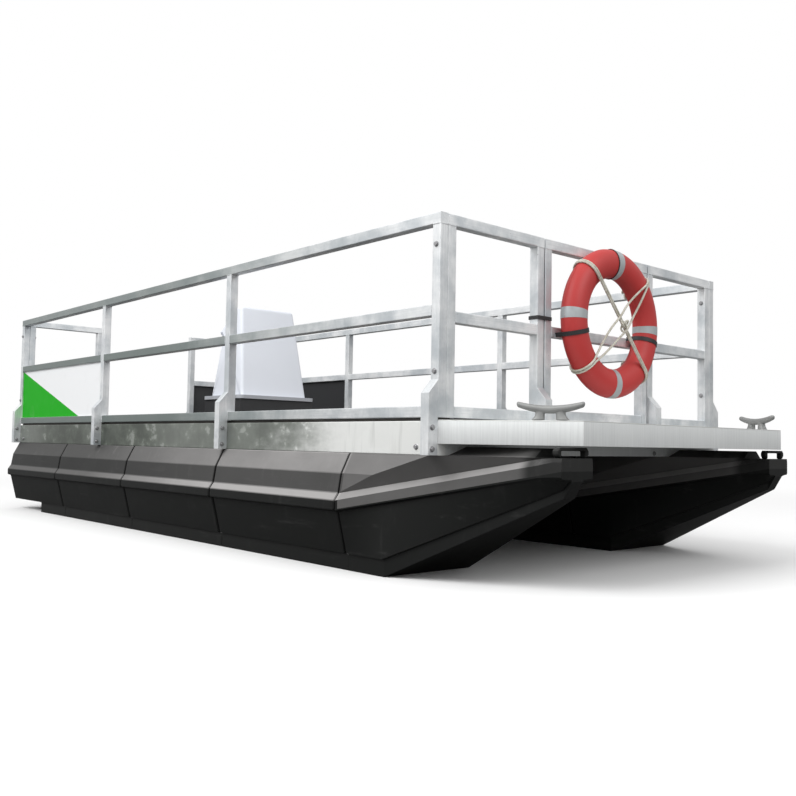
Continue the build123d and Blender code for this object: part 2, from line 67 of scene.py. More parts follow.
def corners(node):
    """All vertices of a CAD node as rows of an array."""
    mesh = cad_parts[node].data
    flat = np.empty(3 * len(mesh.vertices))
    mesh.vertices.foreach_get("co", flat)
    return flat.reshape(-1, 3)


def centres(values, gap):
    """Middle of each cluster of values, where more than the gap parts two clusters."""
    ordered = np.unique(values)
    runs = np.split(ordered, np.flatnonzero(np.diff(ordered) > gap) + 1)
    return np.array([(run[0] + run[-1]) / 2 for run in runs])


def on_side(node, side):
    """The vertices of a node that lie on one side of the centreline."""
    points = corners(node)
    return points[points[:, 1] * side > 0]


# Places read from the frame
RAIL_LOW, RAIL_HIGH = span("side_top_rails")
FRONT_X, REAR_X = RAIL_HIGH[0], RAIL_LOW[0]
OUTER_Y, TOP_Z = RAIL_HIGH[1:]
TUBE = TOP_Z - RAIL_LOW[2]
DECK_Z = span("side_posts")[0][2]
TUBE_GAP = 1.2 * TUBE  # wider than one tube, narrower than any bay
SIDES = (-1, 1)  # starboard, port
POSTS = {side: centres(on_side("side_posts", side)[:, 0], TUBE_GAP) for side in SIDES}
SIDE_RAIL_Z = [sum(span(node))[2] / 2 for node in ("side_mid_rails", "side_base_rails")]
END_RAIL_Z = centres(corners("end_rails")[:, 2], TUBE_GAP)
GATE_RAIL_Z = centres(corners("gate_rails")[:, 2], TUBE_GAP)
INNER_STILE_Y = np.abs(centres(corners("end_stiles")[:, 1], TUBE_GAP)).min()
GATE_STILE_Y = span("gate_stiles")[1][1] - TUBE / 2


class Socket:
    """A shader socket that takes part in arithmetic: each operation adds one Math node."""

    def __init__(self, nodes, out):
        self.nodes, self.out = nodes, out

    def math(self, operation, first, second=None):
        return self.nodes.node("ShaderNodeMath", {"operation": operation}, {0: first, 1: second})

    def __add__(self, other):
        return self.math("ADD", self, other)

    def __sub__(self, other):
        return self.math("SUBTRACT", self, other)

    def __rsub__(self, other):
        return self.math("SUBTRACT", other, self)

    def __mul__(self, other):
        return self.math("MULTIPLY", self, other)

    def __truediv__(self, other):
        return self.math("DIVIDE", self, other)

    def __gt__(self, other):
        return self.math("GREATER_THAN", self, other)

    def __lt__(self, other):
        return self.math("LESS_THAN", self, other)

    def __abs__(self):
        return self.math("ABSOLUTE", self)

    def __or__(self, other):
        return self.math("MAXIMUM", self, other)

    __radd__ = __add__
    __rmul__ = __mul__


class Nodes:
    """A node tree that is put together by plain calls."""

    def __init__(self, tree):
        self.tree = tree

    def fill(self, node, inputs):
        """Set sockets of a node by value or by link."""
        for key, value in inputs.items():
            if isinstance(value, Socket):
                self.tree.links.new(value.out, node.inputs[key])
            elif value is not None:
                node.inputs[key].default_value = value

    def node(self, kind, settings=None, inputs=None, output=0):
        """Add a node by type, set its settings, then its sockets by value or by link."""
        node = self.tree.nodes.new(kind)
        for key, value in (settings or {}).items():
            setattr(node, key, value)
        self.fill(node, inputs or {})
        return Socket(self, node.outputs[output])

    def ease(self, value, low, high, to_low=0.0, to_high=1.0):
        """Smooth step of a value from one range to another."""
        inputs = {"Value": value, "From Min": low, "From Max": high, "To Min": to_low, "To Max": to_high}
        return self.node("ShaderNodeMapRange", {"interpolation_type": "SMOOTHSTEP"}, inputs)

    def ray(self, kind):
        """One for the named kind of light ray, such as Is Camera Ray, and zero for the rest."""
        return self.node("ShaderNodeLightPath", output=kind)


class Finish(Nodes):
    """One procedural material while it is being put together."""

    def __init__(self, name):
        self.material = bpy.data.materials.new(name)
        self.material.use_nodes = True
        super().__init__(self.material.node_tree)
        self.shader = self.tree.nodes["Principled BSDF"]

    def place(self, stretch=(1.0, 1.0, 1.0), turn=(0.0, 0.0, 0.0)):
        """Object coordinates, scaled and turned."""
        coords = self.node("ShaderNodeTexCoord", output="Object")
        return self.node("ShaderNodeMapping", {}, {"Vector": coords, "Scale": stretch, "Rotation": turn})

    def axis(self, name):
        """One object coordinate, in metres."""
        coords = self.node("ShaderNodeTexCoord", output="Object")
        return self.node("ShaderNodeSeparateXYZ", {}, {0: coords}, name)

    def facing(self, name):
        """One component of the surface normal."""
        normal = self.node("ShaderNodeTexCoord", output="Normal")
        return self.node("ShaderNodeSeparateXYZ", {}, {0: normal}, name)

    def noise(self, scale, stretch=(1.0, 1.0, 1.0), detail=4.0, rough=0.55):
        """Fractal noise, from 0 to 1 about a mean of a half."""
        inputs = {"Vector": self.place(stretch), "Scale": scale, "Detail": detail, "Roughness": rough}
        return self.node("ShaderNodeTexNoise", {}, inputs)

    def wave(self, value):
        """Sine of a value."""
        return self.node("ShaderNodeMath", {"operation": "SINE"}, {0: value})

    def mix(self, share, first, second):
        """Blend two colours."""
        first, second = (c if isinstance(c, Socket) else (*c, 1.0) for c in (first, second))
        return self.node("ShaderNodeMix", {"data_type": "RGBA"}, {0: share, 6: first, 7: second}, 2)

    def bump(self, height, strength, depth):
        """Normal raised by a height field, depth in metres."""
        inputs = {"Height": height, "Strength": strength, "Distance": depth}
        return self.node("ShaderNodeBump", {}, inputs)

    def done(self, **sockets):
        """Fill the shader's sockets and hand back the material."""
        for key, value in sockets.items():
            value = (*value, 1.0) if isinstance(value, tuple) else value
            self.fill(self.shader, {key.replace("_", " "): value})
        return self.material


def shade(tone, *factors):
    """A colour times one factor, or times one factor for each channel."""
    return tuple(np.array(tone) * np.array(factors))


# Stretch of the drawing lines on a tube that runs along an axis
GRAIN = {"X": (0.6, 14.0, 14.0), "Y": (14.0, 0.6, 14.0), "Z": (14.0, 14.0, 0.6)}


def tube_aluminium(name, run, tone):
    """Mill-finish tube: drawing lines along its run, a cloud of oxide with painted reflection in its bright
    parts, dull patches and small dark nicks.

    Rails that run fore and aft are painted darker, green-grey, on their outer faces towards the stern, the
    lower ones most: partly tarnish, partly painted reflection.
    """
    finish = Finish(name)
    lines = finish.noise(9.0, GRAIN[run], 3.0, 0.6)
    cloud = finish.noise(4.2, detail=6.0, rough=0.6)
    stain = finish.ease(finish.noise(7.0, detail=6.0, rough=0.65), 0.56, 0.78)
    nick = finish.ease(finish.noise(55.0, detail=3.0, rough=0.6), 0.70, 0.76)
    # Cloud: oxide, with painted reflection in its bright parts
    colour = finish.mix(finish.ease(cloud, 0.34, 0.66), shade(tone, 0.70, 0.74, 0.77), shade(tone, 1.16))
    colour = finish.mix(finish.ease(lines, 0.35, 0.70) * 0.35, colour, shade(tone, 0.74, 0.76, 0.77))
    colour = finish.mix(stain * 0.45, colour, shade(tone, 0.48, 0.52, 0.54))
    colour = finish.mix(nick * 0.45, colour, shade(tone, 0.35))
    if run == "X":
        # Outer faces of fore-and-aft rails darken aft: partly tarnish, partly painted reflection
        outward = (finish.facing("Y") * finish.axis("Y")) > 0.5
        aft = finish.ease(finish.axis("X") + 0.8 * cloud, 2.75, 0.1)
        low = finish.ease(finish.axis("Z"), TOP_Z - TUBE - 0.02, TOP_Z - TUBE, 0.94, 0.80)
        colour = finish.mix(outward * aft * low, colour, shade(tone, 0.20, 0.24, 0.225))
    rough = 0.26 + 0.16 * cloud + 0.10 * lines
    height = finish.bump(lines + 0.6 * cloud, 0.25, 0.0008)
    return finish.done(Base_Color=colour, Metallic=0.5, Roughness=rough, Normal=height)


def beam_aluminium(tone, tarnish_and_reflection):
    """Wide extrusion: bright towards the bow, mottled and dull green-grey towards the stern. The green-grey
    is partly tarnish, partly painted reflection; the glints are painted highlights.
    """
    finish = Finish("beam_aluminium")
    cloud = finish.noise(2.6, (0.8, 1.0, 1.7), 6.0, 0.62)
    fleck = finish.noise(9.0, (0.9, 1.0, 1.2), 5.0, 0.6)
    drip = finish.noise(26.0, (1.0, 1.0, 0.10), 3.0)
    lines = finish.noise(30.0, (0.05, 1.0, 1.0), 2.0)
    # Clean towards the bow, green-grey towards the stern: partly tarnish, partly painted reflection
    forward = finish.ease(finish.axis("X") + 1.6 * cloud, 1.8, 2.7)
    patch = finish.ease(finish.noise(0.9, (1.0, 0.2, 0.2), 2.0), 0.42, 0.62)
    dull = finish.mix(finish.ease(fleck, 0.36, 0.66), shade(tarnish_and_reflection, 0.70), shade(tarnish_and_reflection, 1.30))
    dull = finish.mix(patch * 0.25, dull, shade(tone, 0.62, 0.64, 0.62))
    colour = finish.mix(forward, dull, tone)
    # Painted glints where the clean metal meets the green-grey
    glint = finish.ease(fleck, 0.56, 0.66) * (1.0 - abs(forward - 0.5) * 1.5)
    colour = finish.mix(glint * 0.75, colour, shade(tone, 1.10))
    colour = finish.mix(finish.ease(drip, 0.55, 0.75) * 0.15, colour, shade(tarnish_and_reflection, 0.8))
    height = finish.bump(cloud + 0.15 * lines, 0.25, 0.003)
    return finish.done(Base_Color=colour, Metallic=0.35, Roughness=0.26 + 0.2 * fleck, Normal=height)


def fascia_aluminium(tone):
    """Brushed flat bar: fine upright streaks, a few run marks and a soft cloud of oxide."""
    finish = Finish("fascia_aluminium")
    streak = finish.noise(150.0, (1.0, 1.0, 0.03), 3.0, 0.6)
    cloud = finish.noise(3.0, detail=5.0)
    mark = finish.ease(finish.noise(34.0, (1.0, 1.0, 0.08), 4.0, 0.7), 0.62, 0.76)
    colour = finish.mix(finish.ease(streak, 0.30, 0.70), shade(tone, 0.94), shade(tone, 1.03))
    colour = finish.mix(finish.ease(cloud, 0.35, 0.75) * 0.30, colour, shade(tone, 0.88, 0.89, 0.90))
    colour = finish.mix(mark * 0.18, colour, shade(tone, 0.66, 0.64, 0.58))
    height = finish.bump(streak, 0.12, 0.0004)
    return finish.done(Base_Color=colour, Metallic=0.3, Roughness=0.34 + 0.16 * streak, Normal=height)


def float_plastic(tone, dust_and_sheen):
    """Black moulded plastic: a pale film of dust and painted sky sheen on faces that look up, fainter
    towards the stern, and long scuffs.

    On the bow module the film also lies on the side of the ledge and on faces that look down above it, there
    as painted light. It is thin on flat tops and where the deck stands over it, as painted shadow.
    """
    finish = Finish("float_black")
    mottle = finish.noise(4.0, (0.6, 1.0, 1.0), 6.0, 0.6)
    scuff = finish.ease(finish.noise(16.0, (0.12, 1.0, 1.0), 5.0, 0.7), 0.58, 0.74)
    dried = finish.ease(finish.noise(11.0, (1.0, 1.0, 0.25), 5.0, 0.7), 0.55, 0.80)
    lift, ahead, height = finish.facing("Z"), finish.axis("X"), finish.axis("Z")
    # Pale film on faces that look up: dust, and painted sky sheen
    upward = 0.58 * finish.ease(lift, 0.02, 0.50) + 0.42 * finish.ease(lift, 0.48, 0.57)
    # Faces that look straight up get less film: painted shade from the deck above them
    upward = upward * finish.ease(lift, 0.70, 0.95, 1.0, 0.4)
    forward = finish.ease(ahead, -1.6, 1.6, 0.24, 1.20)
    level = height - 0.19 * ((ahead - 1.78) | 0.0)  # the ledge rises towards the bow
    bow = ahead > 1.79
    # On the bow the ledge's side gets film: painted light where the deck shades it
    rim = bow * (level > 0.295) * (lift > -0.1)
    # Faces that look down above the ledge get some film: painted light
    tucked = (level > 0.362) * finish.ease(lift, -0.2, -0.5)
    # Painted shadow of the bow platform: the film fades under it
    deck_shadow = finish.ease(ahead, 2.70, 2.76, 1.0, 0.15)
    deck_shadow = deck_shadow * finish.ease(height, 0.555, 0.57, 1.0, 0.35)
    film_and_sheen = ((upward * forward * (1.0 - 0.30 * bow)) | (0.30 * rim)) + 0.35 * tucked
    film_and_sheen = film_and_sheen * deck_shadow * (0.65 + 0.7 * mottle)
    colour = finish.mix(film_and_sheen, tone, dust_and_sheen)
    colour = finish.mix(scuff * 0.12, colour, shade(dust_and_sheen, 0.40))
    colour = finish.mix(dried * (0.03 + 0.25 * upward), colour, dust_and_sheen)
    peel = finish.noise(220.0, detail=2.0)
    raised = finish.bump(mottle * 2.0 + 0.12 * peel, 0.30, 0.0025)
    rough = 0.40 + 0.20 * mottle + 0.12 * film_and_sheen
    return finish.done(Base_Color=colour, Roughness=rough, Specular_IOR_Level=0.20, Normal=raised)


def plain_plastic(name, tone, rough, spread=0.25):
    """Dull plastic or rubber with fine grain and faint mottling."""
    finish = Finish(name)
    mottle = finish.noise(9.0, detail=5.0)
    grain = finish.noise(420.0, detail=2.0)
    colour = finish.mix(mottle, shade(tone, 1 - spread), shade(tone, 1 + spread))
    height = finish.bump(grain, 0.25, 0.0006)
    return finish.done(Base_Color=colour, Roughness=rough + 0.15 * mottle, Normal=height)


def gel_coat(name, tone):
    """Glossy moulded shell with the slight waviness of hand-laid laminate."""
    finish = Finish(name)
    wave = finish.noise(3.0, detail=3.0)
    speck = finish.ease(finish.noise(60.0, detail=4.0, rough=0.7), 0.68, 0.78)
    colour = finish.mix(wave, shade(tone, 0.95), tone)
    colour = finish.mix(speck * 0.15, colour, shade(tone, 0.6))
    height = finish.bump(wave, 0.10, 0.004)
    rough = 0.42 + 0.12 * wave
    return finish.done(Base_Color=colour, Roughness=rough, Specular_IOR_Level=0.35, Normal=height)


def deck_board(tone):
    """Film-faced board with a pressed anti-slip mesh."""
    finish = Finish("deck_board")
    pitch = 260.0
    across, along = (abs(finish.wave(finish.axis(name) * pitch)) for name in "XY")
    mesh = finish.ease(across * along, 0.0, 0.35)
    wear = finish.noise(2.4, detail=6.0, rough=0.65)
    colour = finish.mix(finish.ease(wear, 0.35, 0.75), tone, shade(tone, 2.1))
    height = finish.bump(mesh, 0.5, 0.0012)
    return finish.done(Base_Color=colour, Roughness=0.48 + 0.25 * wear, Normal=height)


def tread_plate(tone):
    """Aluminium plate with raised bars in alternating directions."""
    finish = Finish("tread_aluminium")
    pitch = 210.0
    quarter = math.radians(45.0)
    bars = []
    for turn in (quarter, -quarter):
        turned = finish.place((pitch, pitch * 0.33, pitch), (0.0, 0.0, turn))
        parts = [finish.node("ShaderNodeSeparateXYZ", {}, {0: turned}, name) for name in "XY"]
        bars.append(finish.ease(finish.wave(parts[0]) * finish.wave(parts[1]), 0.25, 0.6))
    cloud = finish.noise(5.0, detail=5.0)
    colour = finish.mix(cloud, shade(tone, 0.8), shade(tone, 1.1))
    height = finish.bump(bars[0] + bars[1], 0.7, 0.0015)
    return finish.done(Base_Color=colour, Metallic=0.6, Roughness=0.30 + 0.2 * cloud, Normal=height)


def railing_board(outside, inside, accent):
    """Thin board: pale outside with a coloured corner, dark inside."""
    finish = Finish("board_white")
    low, high = span("infill_starboard")
    middle = 0.017  # from the railing's face in to the middle of the board
    grime = (0.4, 0.4, 0.38)
    outward = abs(finish.facing("Y")) * (abs(finish.axis("Y")) > OUTER_Y - middle)
    run = (finish.axis("X") - low[0]) / (high[0] - low[0])
    rise = (finish.axis("Z") - low[2]) / (high[2] - low[2])
    corner = (run / 0.75 + rise) < 1.0
    wear = finish.noise(6.0, detail=6.0)
    shown = finish.mix(corner, outside, accent)
    shown = finish.mix(finish.ease(wear, 0.55, 0.8) * 0.12, shown, grime)
    colour = finish.mix(outward, inside, shown)
    return finish.done(Base_Color=colour, Roughness=0.40 + 0.2 * wear, Specular_IOR_Level=0.12)


def cast_aluminium(tone):
    """Sand-cast alloy: grainy skin with cloudy oxide."""
    finish = Finish("cleat_aluminium")
    grain = finish.noise(240.0, detail=3.0)
    cloud = finish.noise(18.0, detail=5.0)
    colour = finish.mix(cloud, shade(tone, 0.75), shade(tone, 1.15))
    height = finish.bump(grain + cloud, 0.4, 0.001)
    return finish.done(Base_Color=colour, Metallic=0.35, Roughness=0.42 + 0.2 * cloud, Normal=height)


def bright_steel(name, tone):
    """Zinc-bright or satin steel for fasteners and hinges."""
    finish = Finish(name)
    cloud = finish.noise(60.0, detail=4.0)
    colour = finish.mix(cloud, shade(tone, 0.75), tone)
    return finish.done(Base_Color=colour, Metallic=0.7, Roughness=0.28 + 0.2 * cloud)


def ring_shell(tone):
    """Moulded lifebuoy skin: sun-faded, lightly scuffed, with an orange-peel surface."""
    finish = Finish("lifebuoy_red")
    fade = finish.noise(5.0, detail=5.0)
    scuff = finish.ease(finish.noise(38.0, detail=5.0, rough=0.7), 0.62, 0.75)
    peel = finish.noise(330.0, detail=2.0)
    colour = finish.mix(fade, shade(tone, 0.86), shade(tone, 1.12))
    colour = finish.mix(scuff * 0.12, colour, (0.62, 0.30, 0.26))
    height = finish.bump(peel + 2.0 * fade, 0.2, 0.0008)
    rough = 0.38 + 0.18 * fade
    return finish.done(Base_Color=colour, Roughness=rough, Specular_IOR_Level=0.35, Normal=height)


def reflective_tape(tone):
    """Grey retro-reflective tape with a fine cell pattern."""
    finish = Finish("lifebuoy_tape")
    cell = finish.node("ShaderNodeTexVoronoi", {}, {"Vector": finish.place(), "Scale": 420.0})
    cloud = finish.noise(24.0, detail=4.0)
    colour = finish.mix(cloud, shade(tone, 0.78), shade(tone, 1.1))
    height = finish.bump(cell, 0.3, 0.0004)
    return finish.done(Base_Color=colour, Metallic=0.25, Roughness=0.34 + 0.2 * cloud, Normal=height)


def laid_rope(tone):
    """Pale laid rope, soiled in places, with loose fibre on its strands."""
    finish = Finish("rope_white")
    fibre = finish.noise(500.0, detail=3.0)
    soil = finish.noise(20.0, detail=5.0)
    colour = finish.mix(finish.ease(soil, 0.4, 0.75), tone, shade(tone, 0.66, 0.64, 0.58))
    height = finish.bump(fibre, 0.5, 0.0008)
    return finish.done(Base_Color=colour, Roughness=0.78, Normal=height)


class BargeFinishes(PropertyGroup):
    """Colours that a user may change."""

    rail: FloatVectorProperty(name="Railing", description="Mill-finish tube",
                              subtype="COLOR", size=3, default=(0.74, 0.75, 0.755))
    beam: FloatVectorProperty(name="Beams", description="Clean beams and fascias",
                              subtype="COLOR", size=3, default=(0.80, 0.81, 0.79))
    # Green-grey of the beams towards the stern: partly tarnish, partly painted reflection
    tarnish_and_reflection: FloatVectorProperty(name="Tarnish and reflection", description="Dull stretches of the beams",
                                 subtype="COLOR", size=3, default=(0.092, 0.106, 0.088))
    plastic: FloatVectorProperty(name="Floats", description="Moulded float plastic",
                                 subtype="COLOR", size=3, default=(0.0062, 0.0068, 0.0064))
    # Colour of the floats' pale film: dust, and painted sky sheen on faces that look up
    dust_and_sheen: FloatVectorProperty(name="Float film", description="Pale film on faces that look up",
                              subtype="COLOR", size=3, default=(0.318, 0.310, 0.306))
    board: FloatVectorProperty(name="Board", description="Outer face of the stern boards",
                               subtype="COLOR", size=3, default=(0.80, 0.81, 0.82))
    accent: FloatVectorProperty(name="Board corner", description="Coloured corner of the boards",
                                subtype="COLOR", size=3, default=(0.006, 0.36, 0.005))
    # The console's blue tint is painted sky light, taken from its front face
    console: FloatVectorProperty(name="Console", description="Gel coat",
                                 subtype="COLOR", size=3, default=(0.77, 0.80, 0.86))
    ring: FloatVectorProperty(name="Lifebuoy", description="Lifebuoy shell",
                              subtype="COLOR", size=3, default=(0.46, 0.040, 0.038))
    tape: FloatVectorProperty(name="Tape", description="Reflective tape",
                              subtype="COLOR", size=3, default=(0.42, 0.45, 0.46))
    rope: FloatVectorProperty(name="Rope", description="Lashing rope",
                              subtype="COLOR", size=3, default=(0.58, 0.56, 0.49))
    steel: FloatVectorProperty(name="Fasteners", description="Bolts, screws and hinges",
                               subtype="COLOR", size=3, default=(0.40, 0.40, 0.41))


class BargeFittings(PropertyGroup):
    """Sizes of the small pieces."""

    bolt: FloatProperty(name="Bolt", description="Half the width of a bolt head over its flats",
                        unit="LENGTH", default=0.009, min=0.001)
    screw: FloatProperty(name="Screw", description="Radius of a screw head",
                         unit="LENGTH", default=0.006, min=0.001)
    weld: FloatProperty(name="Weld", description="Radius of a weld bead",
                        unit="LENGTH", default=0.0026, min=0.0005)
    rope: FloatProperty(name="Rope", description="Radius of the lashing rope",
                        unit="LENGTH", default=0.006, min=0.001)
    tape: FloatProperty(name="Tape", description="Width of the reflective bands",
                        unit="LENGTH", default=0.045, min=0.005)
    float_edge: FloatProperty(name="Float edges", description="Rounding of the float's edges",
                              unit="LENGTH", default=0.006, min=0.0)
    console_edge: FloatProperty(name="Console edges", description="Rounding of the console",
                                unit="LENGTH", default=0.024, min=0.002)
    metal_edge: FloatProperty(name="Metal edges", description="Rounding of sawn metal edges",
                              unit="LENGTH", default=0.0015, min=0.0)


class BargeStage(PropertyGroup):
    """Camera and light."""

    lens: FloatProperty(name="Focal length", description="In pixels of the photograph",
                        default=887.8, min=100.0)
    yaw: FloatProperty(name="Yaw", description="View direction from +Y towards +X",
                       subtype="ANGLE", default=math.radians(-48.446))
    pitch: FloatProperty(name="Pitch", description="View direction above level",
                         subtype="ANGLE", default=math.radians(2.913))
    roll: FloatProperty(name="Roll", description="Camera roll",
                        subtype="ANGLE", default=math.radians(0.987))
    ahead: FloatProperty(name="Ahead", description="Camera ahead of the front railing",
                         subtype="DISTANCE", default=2.749)
    abeam: FloatProperty(name="Abeam", description="Camera to starboard of the centreline",
                         subtype="DISTANCE", default=3.828)
    below: FloatProperty(name="Below deck", description="Camera below the deck's top",
                         subtype="DISTANCE", default=0.115)
    sky: FloatProperty(name="Sky", description="Light from all round",
                       default=1.0, min=0.0)
    key: FloatProperty(name="Key", description="Power of the large key lamp",
                       subtype="POWER", default=900.0)


def paint(material, *nodes):
    """Give CAD nodes one material in all their slots."""
    for name in nodes:
        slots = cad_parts[name].data.materials
        slots.clear()
        slots.append(material)


def soften(width, segments, *nodes):
    """Round the edges of CAD nodes: their loose triangles are joined, then every crease is bevelled."""
    for name in nodes:
        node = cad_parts[name]
        weld = node.modifiers.new("join", "WELD")
        weld.merge_threshold = 1e-5
        bevel = node.modifiers.new("edges", "BEVEL")
        bevel.width = width
        bevel.segments = segments
        bevel.limit_method = "ANGLE"
        bevel.angle_limit = math.radians(12.0)
        flat = node.modifiers.new("flat faces", "WEIGHTED_NORMAL")
        flat.weight = 100


def grid_faces(rows, columns, wrap_rows=False, wrap_columns=True):
    """Quads between neighbouring points of a grid, closed round either parameter."""
    i, j = np.meshgrid(np.arange(rows - 1 + wrap_rows), np.arange(columns - 1 + wrap_columns), indexing="ij")
    down, over = (i + 1) % rows, (j + 1) % columns
    quads = [i * columns + j, i * columns + over, down * columns + over, down * columns + j]
    return np.stack(quads, axis=-1).reshape(-1, 4)


def joined(*parts):
    """Points and faces of several meshes in one."""
    points = [np.reshape(part[0], (-1, 3)) for part in parts]
    starts = np.cumsum([0] + [len(p) for p in points[:-1]])
    return np.concatenate(points), np.concatenate([part[1] + start for part, start in zip(parts, starts)])


def copies(grid, faces, rows):
    """Copies of a grid at rows of place and axis: local Z turns to the axis, X to a line square to it."""
    places, up = np.split(np.array(rows, float), 2, axis=1)
    side = np.cross(up, np.roll(up, 1, axis=1))
    side /= np.linalg.norm(side, axis=1, keepdims=True)
    turn = np.stack([side, np.cross(up, side), up], axis=1)
    points = places[:, None, None] + np.einsum("rck,mkj->mrcj", grid, turn)
    starts = grid.shape[0] * grid.shape[1] * np.arange(len(places))
    return points.reshape(-1, 3), (faces + starts[:, None, None]).reshape(-1, 4)


def add_piece(name, points, faces, material, body, slot=None, replaced=(), crease=35.0):
    """New piece from points and quads: poles closed, faces turned outwards, and riding a body."""
    mesh = bpy.data.meshes.new(name)
    mesh.from_pydata(np.reshape(points, (-1, 3)), [], faces)
    work = bmesh.new()
    work.from_mesh(mesh)
    bmesh.ops.remove_doubles(work, verts=work.verts, dist=1e-6)
    bmesh.ops.recalc_face_normals(work, faces=work.faces)
    work.to_mesh(mesh)
    work.free()
    mesh.polygons.foreach_set("use_smooth", np.ones(len(mesh.polygons), dtype=bool))
    mesh.set_sharp_from_angle(angle=math.radians(crease))
    mesh.materials.append(material)
    piece = bpy.data.objects.new(name, mesh)
    bpy.context.scene.collection.objects.link(piece)
    if body:
        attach(piece, body)
    if replaced:
        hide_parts(*replaced)
    return piece


def turned_grid(profile, sides, flats=6):
    """Profile rows of radius, height and share of a polygon, turned about Z.

    A polygon's radius is its half-width over the flats divided by the cosine of the angle from the middle
    of a flat.
    """
    radius, height, share = np.array(profile).T[:, :, None]
    angle = np.linspace(0.0, 2.0 * np.pi, sides, endpoint=False)
    half = np.pi / flats
    fold = (angle + half) % (2.0 * half) - half
    reach = radius * (1.0 - share + share / np.cos(fold))
    return np.stack([reach * np.cos(angle), reach * np.sin(angle), height + 0.0 * angle], axis=-1)


def tube_along(path, square, radius, sides=18, lay=0.0, closed=False):
    """Rope along a path: three round strands that turn once in each length of lay.

    The section's radius is R (0.80 + 0.20 |cos 1.5 (angle - 2 pi s / lay)|), where s is the length along
    the path. Without a lay the section is a plain circle.
    """
    ahead = np.roll(path, -1, axis=0) - np.roll(path, 1, axis=0) if closed else np.gradient(path, axis=0)
    ahead /= np.linalg.norm(ahead, axis=1, keepdims=True)
    first = square - np.sum(square * ahead, axis=1, keepdims=True) * ahead
    first /= np.linalg.norm(first, axis=1, keepdims=True)
    second = np.cross(ahead, first)
    step = np.linalg.norm(np.diff(path, axis=0, prepend=path[:1]), axis=1)
    turn = 2.0 * np.pi * np.cumsum(step)[:, None] / lay if lay else 0.0
    angle = np.linspace(0.0, 2.0 * np.pi, sides, endpoint=False)
    reach = radius * (0.80 + 0.20 * np.abs(np.cos(1.5 * (angle - turn)))) if lay else radius + 0.0 * angle
    reach = np.broadcast_to(reach, (len(path), sides)).copy()
    if not closed:
        reach[[0, -1]] = 0.0
    ring = np.cos(angle)[:, None] * first[:, None] + np.sin(angle)[:, None] * second[:, None]
    return path[:, None] + reach[..., None] * ring, grid_faces(len(path), sides, wrap_rows=closed)


class BARGE_OT_floats(Operator):
    """Finish the moulded floats and their mooring loops."""

    bl_idname = "barge.floats"
    bl_label = "Floats"

    def execute(self, context):
        look = context.scene.barge_finishes
        names = [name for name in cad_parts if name.startswith("float_")] + ["bow_loops"]
        paint(float_plastic(tuple(look.plastic), tuple(look.dust_and_sheen)), *names)
        soften(context.scene.barge_fittings.float_edge, 3, *names)
        return {"FINISHED"}


class BARGE_OT_metalwork(Operator):
    """Finish the railing, beams, platform and hinges."""

    bl_idname = "barge.metalwork"
    bl_label = "Metalwork"

    def execute(self, context):
        look = context.scene.barge_finishes
        runs = {
            "X": ("side_top_rails", "side_mid_rails", "side_base_rails"),
            "Y": ("end_rails", "gate_rails"),
            "Z": ("side_posts", "end_stiles", "gate_stiles", "side_feet", "end_feet"),
        }
        for run, nodes in runs.items():
            # Rails that run across take the tone 10 % brighter: painted light on their front faces
            tone = shade(look.rail, 1.10 if run == "Y" else 1.0)
            paint(tube_aluminium(f"rail_aluminium_{run.lower()}", run, tone), *nodes)
        beams = ("side_beam_starboard", "side_beam_port", "rear_cross_beam", "cross_members")
        paint(beam_aluminium(tuple(look.beam), tuple(look.tarnish_and_reflection)), *beams)
        paint(tread_plate(tuple(look.beam)), "platform_tread")
        paint(bright_steel("hinge_steel", tuple(look.steel)), "hinges_fixed", "hinges_gate", "hinge_pins")
        soften(context.scene.barge_fittings.metal_edge, 2, "side_feet", "end_feet", "platform_tread")
        return {"FINISHED"}


